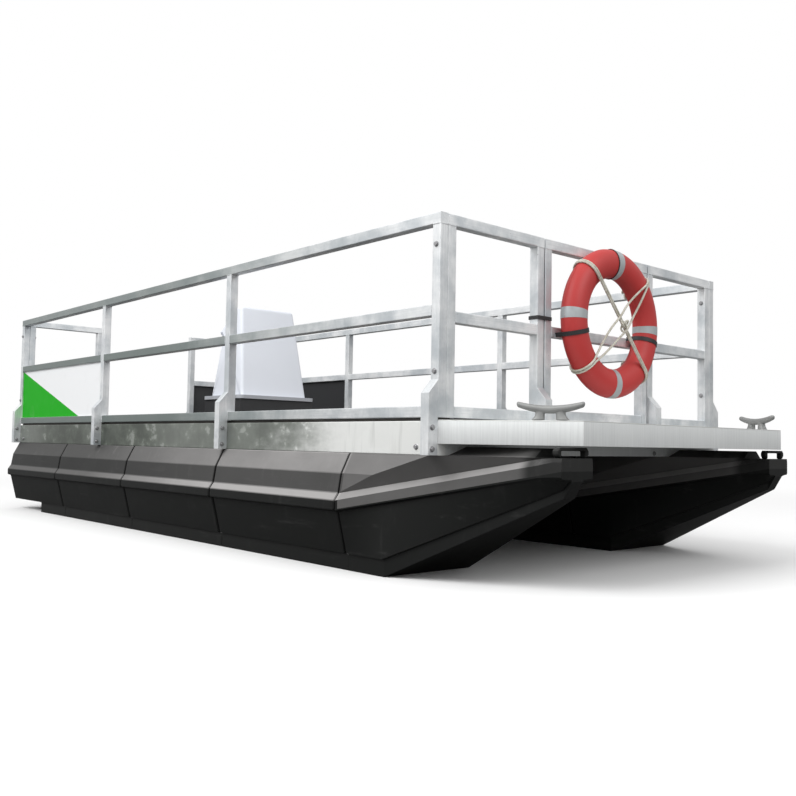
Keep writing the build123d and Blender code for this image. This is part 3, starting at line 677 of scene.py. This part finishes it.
class BARGE_OT_fascia(Operator):
    """Frame the bow platform with one mitred bar, and finish what carries it."""

    bl_idname = "barge.fascia"
    bl_label = "Fascia"

    def execute(self, context):
        # The fascia takes the beams' tone a little darker and bluer: painted shade on the front fascia
        metal = fascia_aluminium(shade(context.scene.barge_finishes.beam, 0.94, 0.95, 0.97))
        paint(metal, "platform_bearers", "front_cross_beam")
        points, faces = self.bar(context.scene.barge_fittings.metal_edge)
        replaced = ["platform_front_fascia", "platform_side_fascias"]
        add_piece("platform_fascia", points, faces, metal, "barge", "beam_aluminium", replaced, 20.0)
        return {"FINISHED"}

    def bar(self, edge):
        """Rounded rectangle along a path with two corners.

        Each point lies between the outer and the inner path. The inner path is the outer one moved in by the
        bar's breadth, so its corners lie on the mitres.
        """
        front_low, front_high = span("platform_front_fascia")
        side_low, side_high = span("platform_side_fascias")
        broad = front_high[0] - front_low[0]
        heel, toe = (side_low[0], side_low[1]), (front_high[0], front_low[1])
        slope = (toe[1] - heel[1]) / (toe[0] - heel[0])
        aside = broad * (np.hypot(1.0, slope) - slope)
        outer = np.array([heel, toe, (toe[0], -toe[1]), (heel[0], -heel[1])])
        square = broad * np.hypot(1.0, slope)
        shift = np.array([(0.0, square), (-broad, aside), (-broad, -aside), (0.0, -square)])
        turn = np.linspace(0.0, np.pi / 2, 4)
        corner = np.column_stack([1.0 - np.cos(turn), 1.0 - np.sin(turn)]) * edge
        tall = front_high[2] - front_low[2]
        section = np.concatenate([
            corner, (corner * (-1, 1))[::-1] + (broad, 0),
            (broad, tall) - corner, (corner * (1, -1))[::-1] + (0, tall),
        ])
        inward, rise = section[:, :1].T / broad, section[:, 1]
        ends = [0, 0, 1, 2, 3, 3]
        wide = np.array([0.0, 1.0, 1.0, 1.0, 1.0, 0.0])[:, None]
        share = 0.5 + wide * (inward - 0.5)
        flat = outer[ends][:, None] + share[..., None] * shift[ends][:, None]
        height = front_low[2] + tall / 2 + wide * (rise - tall / 2)
        return np.concatenate([flat, height[..., None]], axis=-1), grid_faces(len(ends), len(section))


class BARGE_OT_boards(Operator):
    """Finish the deck, the stern boards and the console's foot."""

    bl_idname = "barge.boards"
    bl_label = "Boards"

    def execute(self, context):
        look = context.scene.barge_finishes
        black = (0.028, 0.029, 0.031)
        paint(deck_board((0.045, 0.040, 0.036)), "deck_sheets")
        paint(railing_board(tuple(look.board), black, tuple(look.accent)), "infill_starboard", "infill_port")
        paint(plain_plastic("board_black", black, 0.42), "infill_rear")
        paint(plain_plastic("console_black", black, 0.5), "console_plinth")
        # The flange takes the console's gel coat at 55 %, grey
        paint(gel_coat("flange_white", shade(look.console, 0.55)), "console_flange")
        soften(context.scene.barge_fittings.metal_edge, 2, "console_plinth", "console_flange", "deck_sheets")
        return {"FINISHED"}


class BARGE_OT_console(Operator):
    """Mould the helm console: the CAD body's form with a thin shell's tight corners."""

    bl_idname = "barge.console"
    bl_label = "Console"

    profile = [  # shares of the depth behind the front and of the height; the foot is let into the flange
        (-0.010, -0.036), (0.277, 1.0), (0.439, 1.0), (0.950, 0.728), (0.805, 0.688), (1.010, -0.036),
    ]
    taper = 0.817  # half-width at the top over that at the foot

    def execute(self, context):
        coat = gel_coat("console_shell", tuple(context.scene.barge_finishes.console))
        points, faces = self.shell(context.scene.barge_fittings.console_edge)
        add_piece("console_shell", points, faces, coat, "barge", "console_white", ["console_body"], 40.0)
        return {"FINISHED"}

    def shell(self, radius):
        """Profile swept across, its half-width falling with height, with a quarter round at both sides.

        Each profile corner V is the curve (1-t)^2 A + 2t(1-t) V + t^2 B between points A and B on its edges.
        A row at angle a of the quarter round is moved in by r (1 - cos a), and out to the half-width less
        r (1 - sin a).
        """
        low, high = span("console_body")
        deep, tall = high[0] - low[0], high[2] - low[2]
        shares = np.array(self.profile)
        corner = np.column_stack([high[0] - deep * shares[:, 0], low[2] + tall * shares[:, 1]])
        ways = (np.roll(corner, 1, axis=0) - corner, np.roll(corner, -1, axis=0) - corner)
        near, far = (corner + radius * way / np.linalg.norm(way, axis=1, keepdims=True) for way in ways)
        t = np.linspace(0.0, 1.0, 9)[:, None]
        curve = (1 - t) ** 2 * near[:, None] + 2 * t * (1 - t) * corner[:, None] + t ** 2 * far[:, None]
        loop = curve.reshape(-1, 2)
        ahead = np.roll(loop, -1, axis=0) - np.roll(loop, 1, axis=0)
        inward = np.column_stack([-ahead[:, 1], ahead[:, 0]]) / np.linalg.norm(ahead, axis=1, keepdims=True)
        bend = np.linspace(0.0, np.pi / 2, 7)[:, None]
        rows = loop + (radius * (1.0 - np.cos(bend)))[..., None] * inward
        rows = np.concatenate([rows, np.broadcast_to(loop.mean(axis=0), (1, *loop.shape))])
        back = np.concatenate([radius * (1.0 - np.sin(bend)), [[0.0]]])
        half = high[1] * (1.0 - (1.0 - self.taper) * (rows[..., 1] - low[2]) / tall) - back
        side = np.stack([rows[..., 0], half, rows[..., 1]], axis=-1)
        grid = np.concatenate([side[::-1], side * (1, -1, 1)])
        return grid, grid_faces(*grid.shape[:2])


class BARGE_OT_bolts(Operator):
    """Bolt the railing's feet and corner posts, and the beams."""

    bl_idname = "barge.bolts"
    bl_label = "Bolts"

    foot_drops = (0.045, 0.138)  # below the deck
    foot_out = 0.032  # out from the railing's face
    post_rises = (0.759, 0.201)  # above the deck
    beam_setback, beam_drop = 0.135, 0.130
    cross_offset, cross_drop = 0.514, 0.148

    def execute(self, context):
        flat = context.scene.barge_fittings.bolt
        profile = [  # radius and height in half-widths of the head, share of a hexagon
            (0.0, -0.1, 0.0), (1.45, -0.1, 0.0), (1.45, 0.18, 0.0), (1.38, 0.24, 0.0), (1.0, 0.24, 1.0),
            (1.0, 0.88, 1.0), (0.92, 1.0, 0.3), (0.0, 1.02, 0.0),
        ]
        grid = turned_grid(np.array(profile) * (flat, flat, 1.0), 24)
        points, faces = copies(grid, grid_faces(*grid.shape[:2]), self.rows())
        steel = bright_steel("bolt_steel", tuple(context.scene.barge_finishes.steel))
        add_piece("frame_bolts", points, faces, steel, "barge", "hinge_steel")
        return {"FINISHED"}

    def rows(self):
        """Place and axis of every bolt and nut."""
        rows = []
        for side in SIDES:
            for x in POSTS[side]:
                for drop in self.foot_drops:
                    y, z = side * (OUTER_Y + self.foot_out), DECK_Z - drop
                    rows += [(x + out * TUBE / 2, y, z, out, 0, 0) for out in (-1, 1)]
            for x in (POSTS[side].min(), POSTS[side].max()):
                rows += [(x, side * OUTER_Y, DECK_Z + rise, 0, side, 0) for rise in self.post_rises]
                inner = side * (OUTER_Y - 2 * TUBE)
                free = self.post_rises if x > 0 else self.post_rises[:1]
                rows += [(x, inner, DECK_Z + rise, 0, -side, 0) for rise in free]
            for x in (FRONT_X - self.beam_setback, REAR_X + self.beam_setback):
                rows.append((x, side * OUTER_Y, DECK_Z - self.beam_drop, 0, side, 0))
            rows.append((FRONT_X, side * self.cross_offset, DECK_Z - self.cross_drop, 1, 0, 0))
        return rows


class BARGE_OT_screws(Operator):
    """Screw down the deck, the console's flange and the gate's hinges."""

    bl_idname = "barge.screws"
    bl_label = "Screws"

    deck_pitch = 0.30
    flange_inset = 0.022
    leaf_inset = 0.016
    leaf_rise = 0.030
    leaf_thickness = 0.004
    hinge_gap = 0.2  # parts the points of one hinge from those of the next

    def execute(self, context):
        head = context.scene.barge_fittings.screw
        profile = [  # radius and height in radii of the head, share of a polygon
            (0.0, -0.2, 0.0), (1.0, -0.2, 0.0), (1.0, 0.08, 0.0), (0.72, 0.26, 0.0), (0.0, 0.34, 0.0),
        ]
        grid = turned_grid(np.array(profile) * (head, head, 1.0), 12)
        steel = bright_steel("screw_steel", tuple(context.scene.barge_finishes.steel))
        groups = [  # piece, rows, body
            ("deck_screws", self.deck_rows(), "barge"),
            ("flange_screws", self.flange_rows(), "barge"),
            ("fixed_hinge_screws", self.hinge_rows("hinges_fixed", 1), "barge"),
            ("gate_hinge_screws", self.hinge_rows("hinges_gate", -1), "gate"),
        ]
        for name, rows, body in groups:
            points, faces = copies(grid, grid_faces(*grid.shape[:2]), rows)
            add_piece(name, points, faces, steel, body, "hinge_steel")
        return {"FINISHED"}

    def deck_rows(self):
        """A row of screws over each cross member, apart from those under the console."""
        low, high = span("console_plinth")
        xs = centres(corners("cross_members")[:, 0], TUBE_GAP)
        reach = OUTER_Y - 2 * TUBE
        ys = np.linspace(-reach, reach, int(2 * reach / self.deck_pitch) + 1)
        x, y = (flat.ravel() for flat in np.meshgrid(xs, ys))
        clear = (x < low[0]) | (x > high[0]) | (y < low[1]) | (y > high[1])
        rest = np.array([DECK_Z, 0.0, 0.0, 1.0])
        return np.column_stack([x[clear], y[clear], np.tile(rest, (clear.sum(), 1))])

    def flange_rows(self):
        """Screws round the flange, outside the console's foot."""
        low, high = span("console_flange")
        near, far = low[:2] + self.flange_inset, high[:2] - self.flange_inset
        xs, ys = (np.linspace(near[k], far[k], 5)[1:-1] for k in (0, 1))
        places = [(x, y) for x in xs for y in (near[1], far[1])]
        places += [(x, y) for x in (near[0], far[0]) for y in ys]
        return [(x, y, high[2], 0, 0, 1) for x, y in places]

    def hinge_rows(self, node, hand):
        """Three screws in each leaf, on the face that looks into the barge."""
        low, high = span(node)
        y = (high[1] if hand > 0 else low[1]) - hand * self.leaf_inset
        face = FRONT_X - TUBE - self.leaf_thickness
        heights = centres(corners(node)[:, 2], self.hinge_gap)
        return [(face, y, z + step * self.leaf_rise, -1, 0, 0) for z in heights for step in (-1, 0, 1)]


class BARGE_OT_welds(Operator):
    """Run weld beads round the ends of the rails, posts and stiles."""

    bl_idname = "barge.welds"
    bl_label = "Welds"

    ripples = 28

    def execute(self, context):
        grid = self.bead(context.scene.barge_fittings.weld)
        faces = grid_faces(*grid.shape[:2], wrap_rows=True)
        metal = tube_aluminium("weld_aluminium", "Z", shade(context.scene.barge_finishes.rail, 0.92))
        groups = [  # piece, rows, body
            ("railing_welds", self.railing_rows(), "barge"),
            ("gate_welds", self.gate_rows(), "gate"),
        ]
        for name, rows, body in groups:
            add_piece(name, *copies(grid, faces, rows), metal, body, "rail_aluminium", crease=70.0)
        return {"FINISHED"}

    def bead(self, radius):
        """Rippled bead round a square tube.

        The line is r(a) = half / (|cos a|^n + |sin a|^n)^(1/n), and the bead's radius swells with
        cos(ripples a).
        """
        power = 14  # n, high enough for a square with tight corners
        around = np.linspace(0.0, 2.0 * np.pi, 112, endpoint=False)
        section = np.linspace(0.0, 2.0 * np.pi, 6, endpoint=False)
        cosine, sine = np.cos(around), np.sin(around)
        reach = TUBE / 2 / (np.abs(cosine) ** power + np.abs(sine) ** power) ** (1.0 / power)
        line = np.stack([reach * cosine, reach * sine], axis=-1)
        normal = np.sign(line) * np.abs(line / (TUBE / 2)) ** (power - 1)
        normal /= np.linalg.norm(normal, axis=1, keepdims=True)
        thick = radius * (1.0 + 0.16 * np.cos(self.ripples * around))[:, None]
        flat = line[:, None] + (thick * np.cos(section))[..., None] * normal[:, None]
        return np.concatenate([flat, (thick * np.sin(section))[..., None]], axis=-1)

    def railing_rows(self):
        """Joints of the fixed railing as place and axis."""
        rows = []
        rail_y, under_top = OUTER_Y - TUBE / 2, TOP_Z - TUBE
        for side in SIDES:
            posts = np.sort(POSTS[side])
            for z in SIDE_RAIL_Z:
                rows += [(x + TUBE / 2, side * rail_y, z, 1, 0, 0) for x in posts[:-1]]
                rows += [(x - TUBE / 2, side * rail_y, z, 1, 0, 0) for x in posts[1:]]
            rows += [(x, side * rail_y, under_top, 0, 0, 1) for x in posts]
            for x in (posts[0], posts[-1]):
                ends = (INNER_STILE_Y + TUBE / 2, OUTER_Y - 2 * TUBE)
                rows += [(x, side * y, z, 0, 1, 0) for z in END_RAIL_Z[:-1] for y in ends]
                rows += [(x, side * y, under_top, 0, 0, 1) for y in (INNER_STILE_Y, rail_y - TUBE)]
                rows.append((x, side * (OUTER_Y - TUBE), END_RAIL_Z[-1], 0, 1, 0))
        return rows

    def gate_rows(self):
        """Joints of the gate as place and axis."""
        x = FRONT_X - TUBE / 2
        inside = GATE_STILE_Y - TUBE / 2
        rows = [(x, side * inside, z, 0, 1, 0) for side in SIDES for z in GATE_RAIL_Z[:-1]]
        return rows + [(x, side * GATE_STILE_Y, TOP_Z - TUBE, 0, 0, 1) for side in SIDES]


class BARGE_OT_cleats(Operator):
    """Cast the two mooring cleats."""

    bl_idname = "barge.cleats"
    bl_label = "Cleats"

    voxel = 0.0022  # of the mesh that fuses the bar and its legs
    horn_rise = 0.011  # above the CAD cleat
    dip, depth, breadth = 0.018, 0.0170, 0.020  # of the bar: its sag, half-height and half-width
    leg_offset, leg_length, leg_breadth = 0.043, 0.019, 0.017  # from the middle, and half of its section
    leg_flare = 0.012

    def execute(self, context):
        metal = cast_aluminium((0.27, 0.275, 0.27))
        for side in ("starboard", "port"):
            node = f"cleat_{side}"
            points, faces = self.casting(node)
            name = f"cleat_casting_{side}"
            piece = add_piece(name, points, faces, metal, "barge", "cleat_aluminium", [node], 60.0)
            fuse = piece.modifiers.new("fuse", "REMESH")
            fuse.mode = "VOXEL"
            fuse.voxel_size = self.voxel
            fuse.use_smooth_shade = True
            blend = piece.modifiers.new("blend", "SMOOTH")
            blend.factor = 0.5
            blend.iterations = 4
        return {"FINISHED"}

    def casting(self, node):
        """Bar and two legs, all of rounded section, in the place of the CAD cleat.

        The bar's crown is z = middle + dip u^2 for u from -1 to 1 along it, its depth shrinks towards the
        horns, and both ends are domed. A leg flares to its foot with the cube of the drop below the bar.
        """
        points = corners(node)
        low, high = points.min(axis=0), points.max(axis=0)
        middle = (low + high) / 2
        flat = points[:, :2] - middle[:2]
        along = np.linalg.svd(flat, full_matrices=False)[2][0]
        half = np.abs(flat @ along).max()
        tall = high[2] - low[2] + self.horn_rise
        turn = np.linspace(0.0, 2.0 * np.pi, 28, endpoint=False)
        round_x, round_z = (np.sign(f(turn)) * np.abs(f(turn)) ** 0.8 for f in (np.cos, np.sin))
        u = np.sin(np.linspace(-np.pi / 2, np.pi / 2, 49))[:, None]
        dome = np.sqrt(np.clip(1.0 - np.clip((np.abs(u) - 0.94) / 0.06, 0.0, 1.0) ** 2, 0.0, 1.0))
        thick = self.depth * (1.0 - 0.30 * u ** 2)
        wide = self.breadth * (1.0 - 0.25 * u ** 2)
        crown = tall - self.dip + self.dip * u ** 2
        bar = np.stack([half * u + 0.0 * turn, wide * dome * round_x,
                        crown - thick + thick * dome * round_z], axis=-1)
        drop = np.linspace(0.0, 1.0, 16)[:, None]
        shut = np.concatenate([[[0.0]], np.ones((14, 1)), [[0.0]]])
        flare = self.leg_flare * drop ** 3
        along_leg = shut * (self.leg_length + flare) * round_x
        across_leg = shut * (self.leg_breadth + 0.4 * flare) * round_z
        rise = (tall - self.dip - self.depth) * (1.0 - drop) + 0.0 * turn
        legs = [np.stack([hand * (self.leg_offset + flare) + along_leg, across_leg, rise], axis=-1)
                for hand in SIDES]
        local, faces = joined(*[(form, grid_faces(*form.shape[:2])) for form in (bar, *legs)])
        across = np.array([-along[1], along[0]])
        ground = middle[:2] + local[:, :1] * along + local[:, 1:2] * across
        return np.column_stack([ground, low[2] + local[:, 2]]), faces


class BARGE_OT_lifebuoy(Operator):
    """Make the lifebuoy with its bands, and the rope that lashes it to the gate."""

    bl_idname = "barge.lifebuoy"
    bl_label = "Lifebuoy"

    band_angles = (2.5, 91.5, 181.0, -87.0)  # clock angles seen from ahead
    cord_angle = -3.0
    cord_radius, cord_lift = 0.0024, 0.0022  # and its centre above the ring
    tape_thickness = 0.0010
    runs = [  # from, to, shift at the ends and at the middle in rope radii, lift over the other run
        (-42.0, 137.0, 1.0, 1.0, 0.0),
        (-42.0, 137.0, -1.0, -1.0, 0.0),
        (46.0, 227.0, 1.1, 7.5, 2.0),
        (46.0, 227.0, -1.1, -6.5, 2.0),
    ]
    knot_place = (0.004, -0.012)  # to port of the ring's centre and above it

    def execute(self, context):
        look, sizes = context.scene.barge_finishes, context.scene.barge_fittings
        self.measure()
        black = plain_plastic("strap_black", (0.016, 0.016, 0.017), 0.5)
        paint(black, "lifebuoy_straps", "gate_tie")
        red = ring_shell(tuple(look.ring))
        add_piece("lifebuoy_shell", *self.shell(), red, "gate", "lifebuoy_red", ["lifebuoy"], 60.0)
        tape = reflective_tape(tuple(look.tape))
        add_piece("lifebuoy_bands", *self.bands(sizes.tape), tape, "gate", crease=60.0)
        add_piece("lifebuoy_cord", *self.cord(), black, "gate", "strap_black", crease=60.0)
        rope = laid_rope(tuple(look.rope))
        points, faces = joined(*[self.run(sizes.rope, *row) for row in self.runs], self.knot(sizes.rope))
        add_piece("lashing_rope", points, faces, rope, "gate", "rope_white", ["lifebuoy_rope"], 60.0)
        return {"FINISHED"}

    def measure(self):
        """Centre, mid radius and half-axes of the ring's section, read from its CAD node."""
        low, high = span("lifebuoy")
        self.centre = (low + high) / 2
        reach = np.hypot(*(corners("lifebuoy")[:, 1:] - self.centre[1:]).T)
        self.middle = (reach.max() + reach.min()) / 2
        self.radial = (reach.max() - reach.min()) / 2
        self.depth = (high[0] - low[0]) / 2

    def on_ring(self, clock, turn, grow):
        """Point by clock angle and by angle round the section: an ellipse carried round the ring, grown."""
        away = self.middle + (self.radial + grow) * np.cos(turn)
        deep = (self.depth + grow) * np.sin(turn)
        point = np.stack(np.broadcast_arrays(deep, away * np.sin(clock), away * np.cos(clock)), axis=-1)
        return self.centre + point

    def shell(self):
        """Ring with a fine moulding line round its inner and outer rim."""
        clock = np.linspace(0.0, 2.0 * np.pi, 192, endpoint=False)[:, None]
        turn = np.linspace(0.0, 2.0 * np.pi, 64, endpoint=False)[None]
        rim = 0.0010 * np.exp(-((np.sin(turn) / 0.07) ** 2))
        return self.on_ring(clock, turn, rim), grid_faces(192, 64, wrap_rows=True)

    def bands(self, width):
        """Four bands of tape, 1 mm proud, with their edges turned down to the ring."""
        turn = np.linspace(0.0, 2.0 * np.pi, 64, endpoint=False)[None]
        half = width / 2 / self.middle
        steps = np.array([-1.0, -0.985, -0.5, 0.0, 0.5, 0.985, 1.0])[:, None] * half
        grow = np.array([-0.5, 0.9, 1.0, 1.0, 1.0, 0.9, -0.5])[:, None] * self.tape_thickness
        faces = grid_faces(len(steps), 64)
        clocks = [math.radians(angle) + steps for angle in self.band_angles]
        return joined(*[(self.on_ring(clock, turn, grow), faces) for clock in clocks])

    def cord(self):
        """Thin cord round the ring's section beside the top band."""
        turn = np.linspace(0.0, 2.0 * np.pi, 96, endpoint=False)
        clock = math.radians(self.cord_angle)
        path = self.on_ring(clock, turn, self.cord_lift)
        square = np.array([0.0, math.cos(clock), -math.sin(clock)])
        return tube_along(path, square, self.cord_radius, 10, closed=True)

    def run(self, radius, start, end, end_shift, mid_shift, lift):
        """One rope across the front of the ring and over its outer rim at both ends.

        In the plane of X and the chord it is a straight line on the front of the ring, then an arc of the
        section's ellipse, grown by the rope's radius, round to the back. Its sideways shift falls with the
        square of the distance from the middle, and it rises over the other run by a bell curve.
        """
        tuck = math.radians(-140.0)
        ends = [self.middle * np.array([math.sin(a), math.cos(a)]) for a in map(math.radians, (start, end))]
        half = np.linalg.norm(ends[1] - ends[0]) / 2
        along = (ends[1] - ends[0]) / (2 * half)
        square = np.array([-along[1], along[0]])
        wrap = np.linspace(tuck, np.pi / 2, 130)
        out = half + (self.radial + radius) * np.cos(wrap)
        deep = (self.depth + radius) * np.sin(wrap)
        line = np.linspace(-half, half, 250)[1:-1]
        s = np.concatenate([-out, line, out[::-1]])
        x = np.concatenate([deep, np.full(len(line), self.depth + radius), deep[::-1]])
        share = np.clip(1.0 - (s / half) ** 2, 0.0, 1.0)
        aside = radius * (end_shift + (mid_shift - end_shift) * share)
        x = x + lift * radius * np.exp(-((s / 0.07) ** 2))
        flat = (ends[0] + ends[1]) / 2 + s[:, None] * along + aside[:, None] * square
        path = self.centre + np.column_stack([x, flat])
        return tube_along(path, np.array([0.0, *square]), radius, lay=9.0 * radius)

    def knot(self, radius):
        """Overhand knot, flattened against the ropes.

        It is the trefoil (sin t + 2 sin 2t, cos t - 2 cos 2t, -sin 3t), with its last part made smaller.
        """
        t = np.linspace(0.0, 2.0 * np.pi, 140, endpoint=False)
        across, upright = np.sin(t) + 2 * np.sin(2 * t), np.cos(t) - 2 * np.cos(2 * t)
        flat = np.stack([-0.8 * np.sin(3 * t), across, upright], axis=-1)
        place = self.centre + np.array([self.depth + 3.0 * radius, *self.knot_place])
        return tube_along(place + 1.9 * radius * flat, flat, 0.9 * radius, lay=9.0 * radius, closed=True)


class BARGE_OT_stage(Operator):
    """Set the floor, the light and the photograph's camera."""

    bl_idname = "barge.stage"
    bl_label = "Stage"

    def execute(self, context):
        setup = context.scene.barge_stage
        scene = context.scene
        scene.view_settings.view_transform = "Standard"
        self.floor()
        self.sky(scene, setup.sky)
        self.lamps(scene, setup)
        self.camera(scene, setup)
        return {"FINISHED"}

    def floor(self):
        """Wide disc at the keels: radius times angle, white far away so that it meets the sky."""
        radius = np.concatenate([[0.0], np.geomspace(0.5, 400.0, 40)])[:, None]
        angle = np.linspace(0.0, 2.0 * np.pi, 64, endpoint=False)
        grid = np.stack([radius * np.cos(angle), radius * np.sin(angle), 0.0 * radius * angle], axis=-1)
        finish = Finish("studio_floor")
        far = finish.node("ShaderNodeVectorMath", {"operation": "LENGTH"}, {0: finish.place()}, "Value")
        seen = finish.ray("Is Camera Ray")
        finish.done(Base_Color=finish.mix(seen, (0.15, 0.15, 0.15), (0.86, 0.86, 0.86)), Roughness=0.9)
        glow = finish.node("ShaderNodeEmission", {}, {"Strength": 0.2 + 0.8 * seen})
        near = Socket(finish, finish.shader.outputs[0])
        blend = finish.node("ShaderNodeMixShader", {}, {0: finish.ease(far, 4.0, 11.0), 1: near, 2: glow})
        finish.fill(finish.tree.nodes["Material Output"], {"Surface": blend})
        add_piece("studio_floor", grid, grid_faces(*grid.shape[:2]), finish.material, None)

    def sky(self, scene, level):
        """White to the camera; as light and in reflections brighter from above and from starboard."""
        world = bpy.data.worlds.new("studio_sky")
        world.use_nodes = True
        scene.world = world
        nodes = Nodes(world.node_tree)
        seen = nodes.ray("Is Camera Ray")
        way = nodes.node("ShaderNodeTexCoord", output="Generated")
        across, above = (nodes.node("ShaderNodeSeparateXYZ", {}, {0: way}, name) for name in "YZ")
        light = 0.30 + 0.40 * nodes.ease(above, -0.2, 0.8) + 0.50 * nodes.ease(across, 0.7, -0.7)
        strength = seen + (1.0 - seen) * light * level
        nodes.fill(nodes.tree.nodes["Background"], {"Color": (1.0, 1.0, 1.0, 1.0), "Strength": strength})

    def lamps(self, scene, setup):
        """One large soft lamp high to starboard, and a weak one over the bow."""
        rows = [  # name, place, size, share of the key's power
            ("key_lamp", (0.5, -9.0, 8.5), 7.0, 1.0),
            ("bow_lamp", (9.0, 1.0, 6.0), 5.0, 0.27),
        ]
        for name, place, size, share in rows:
            lamp = bpy.data.lights.new(name, "AREA")
            lamp.size = size
            lamp.energy = setup.key * share
            holder = bpy.data.objects.new(name, lamp)
            scene.collection.objects.link(holder)
            holder.location = place
            aim = Vector((0.0, 0.0, 0.7)) - Vector(place)
            holder.rotation_euler = aim.to_track_quat("-Z", "Y").to_euler()

    def camera(self, scene, setup):
        """Camera of the photograph, placed from the front railing's foot."""
        data = bpy.data.cameras.new("photo_camera")
        data.sensor_width = SENSOR
        data.lens = setup.lens / PHOTO_SIZE * SENSOR
        data.clip_end = 1000.0
        level = math.cos(setup.pitch)
        ahead = Vector((math.sin(setup.yaw) * level, math.cos(setup.yaw) * level, math.sin(setup.pitch)))
        right = Vector((math.cos(setup.yaw), -math.sin(setup.yaw), 0.0))
        above = right.cross(ahead)
        tilt = (math.cos(setup.roll), math.sin(setup.roll))
        across = tilt[0] * right + tilt[1] * above
        upright = tilt[0] * above - tilt[1] * right
        turn = Matrix((across, upright, -ahead)).transposed().to_4x4()
        place = Matrix.Translation((FRONT_X + setup.ahead, -setup.abeam, DECK_Z - setup.below))
        holder = bpy.data.objects.new("photo_camera", data)
        holder.matrix_world = place @ turn
        scene.collection.objects.link(holder)
        scene.camera = holder


class BARGE_PT_panel(Panel):
    """Sidebar list of the barge's pieces."""

    bl_idname = "BARGE_PT_panel"
    bl_label = "Pontoon barge"
    bl_space_type = "VIEW_3D"
    bl_region_type = "UI"
    bl_category = "Barge"

    def draw(self, context):
        for operator in OPERATORS:
            self.layout.operator(operator.bl_idname)
        for name in GROUPS:
            group = getattr(context.scene, name)
            for key in group.__annotations__:
                self.layout.prop(group, key)


GROUPS = {"barge_finishes": BargeFinishes, "barge_fittings": BargeFittings, "barge_stage": BargeStage}
OPERATORS = (
    BARGE_OT_floats, BARGE_OT_metalwork, BARGE_OT_fascia, BARGE_OT_boards, BARGE_OT_console, BARGE_OT_bolts,
    BARGE_OT_screws, BARGE_OT_welds, BARGE_OT_cleats, BARGE_OT_lifebuoy, BARGE_OT_stage,
)
CLASSES = (*GROUPS.values(), *OPERATORS, BARGE_PT_panel)


def register():
    for cls in CLASSES:
        bpy.utils.register_class(cls)
    for name, group in GROUPS.items():
        setattr(bpy.types.Scene, name, PointerProperty(type=group))


def unregister():
    for name in GROUPS:
        delattr(bpy.types.Scene, name)
    for cls in reversed(CLASSES):
        bpy.utils.unregister_class(cls)


def main():
    register()
    for operator in OPERATORS:
        group, name = operator.bl_idname.split(".")
        getattr(getattr(bpy.ops, group), name)()


if __name__ == "__main__":
    main()
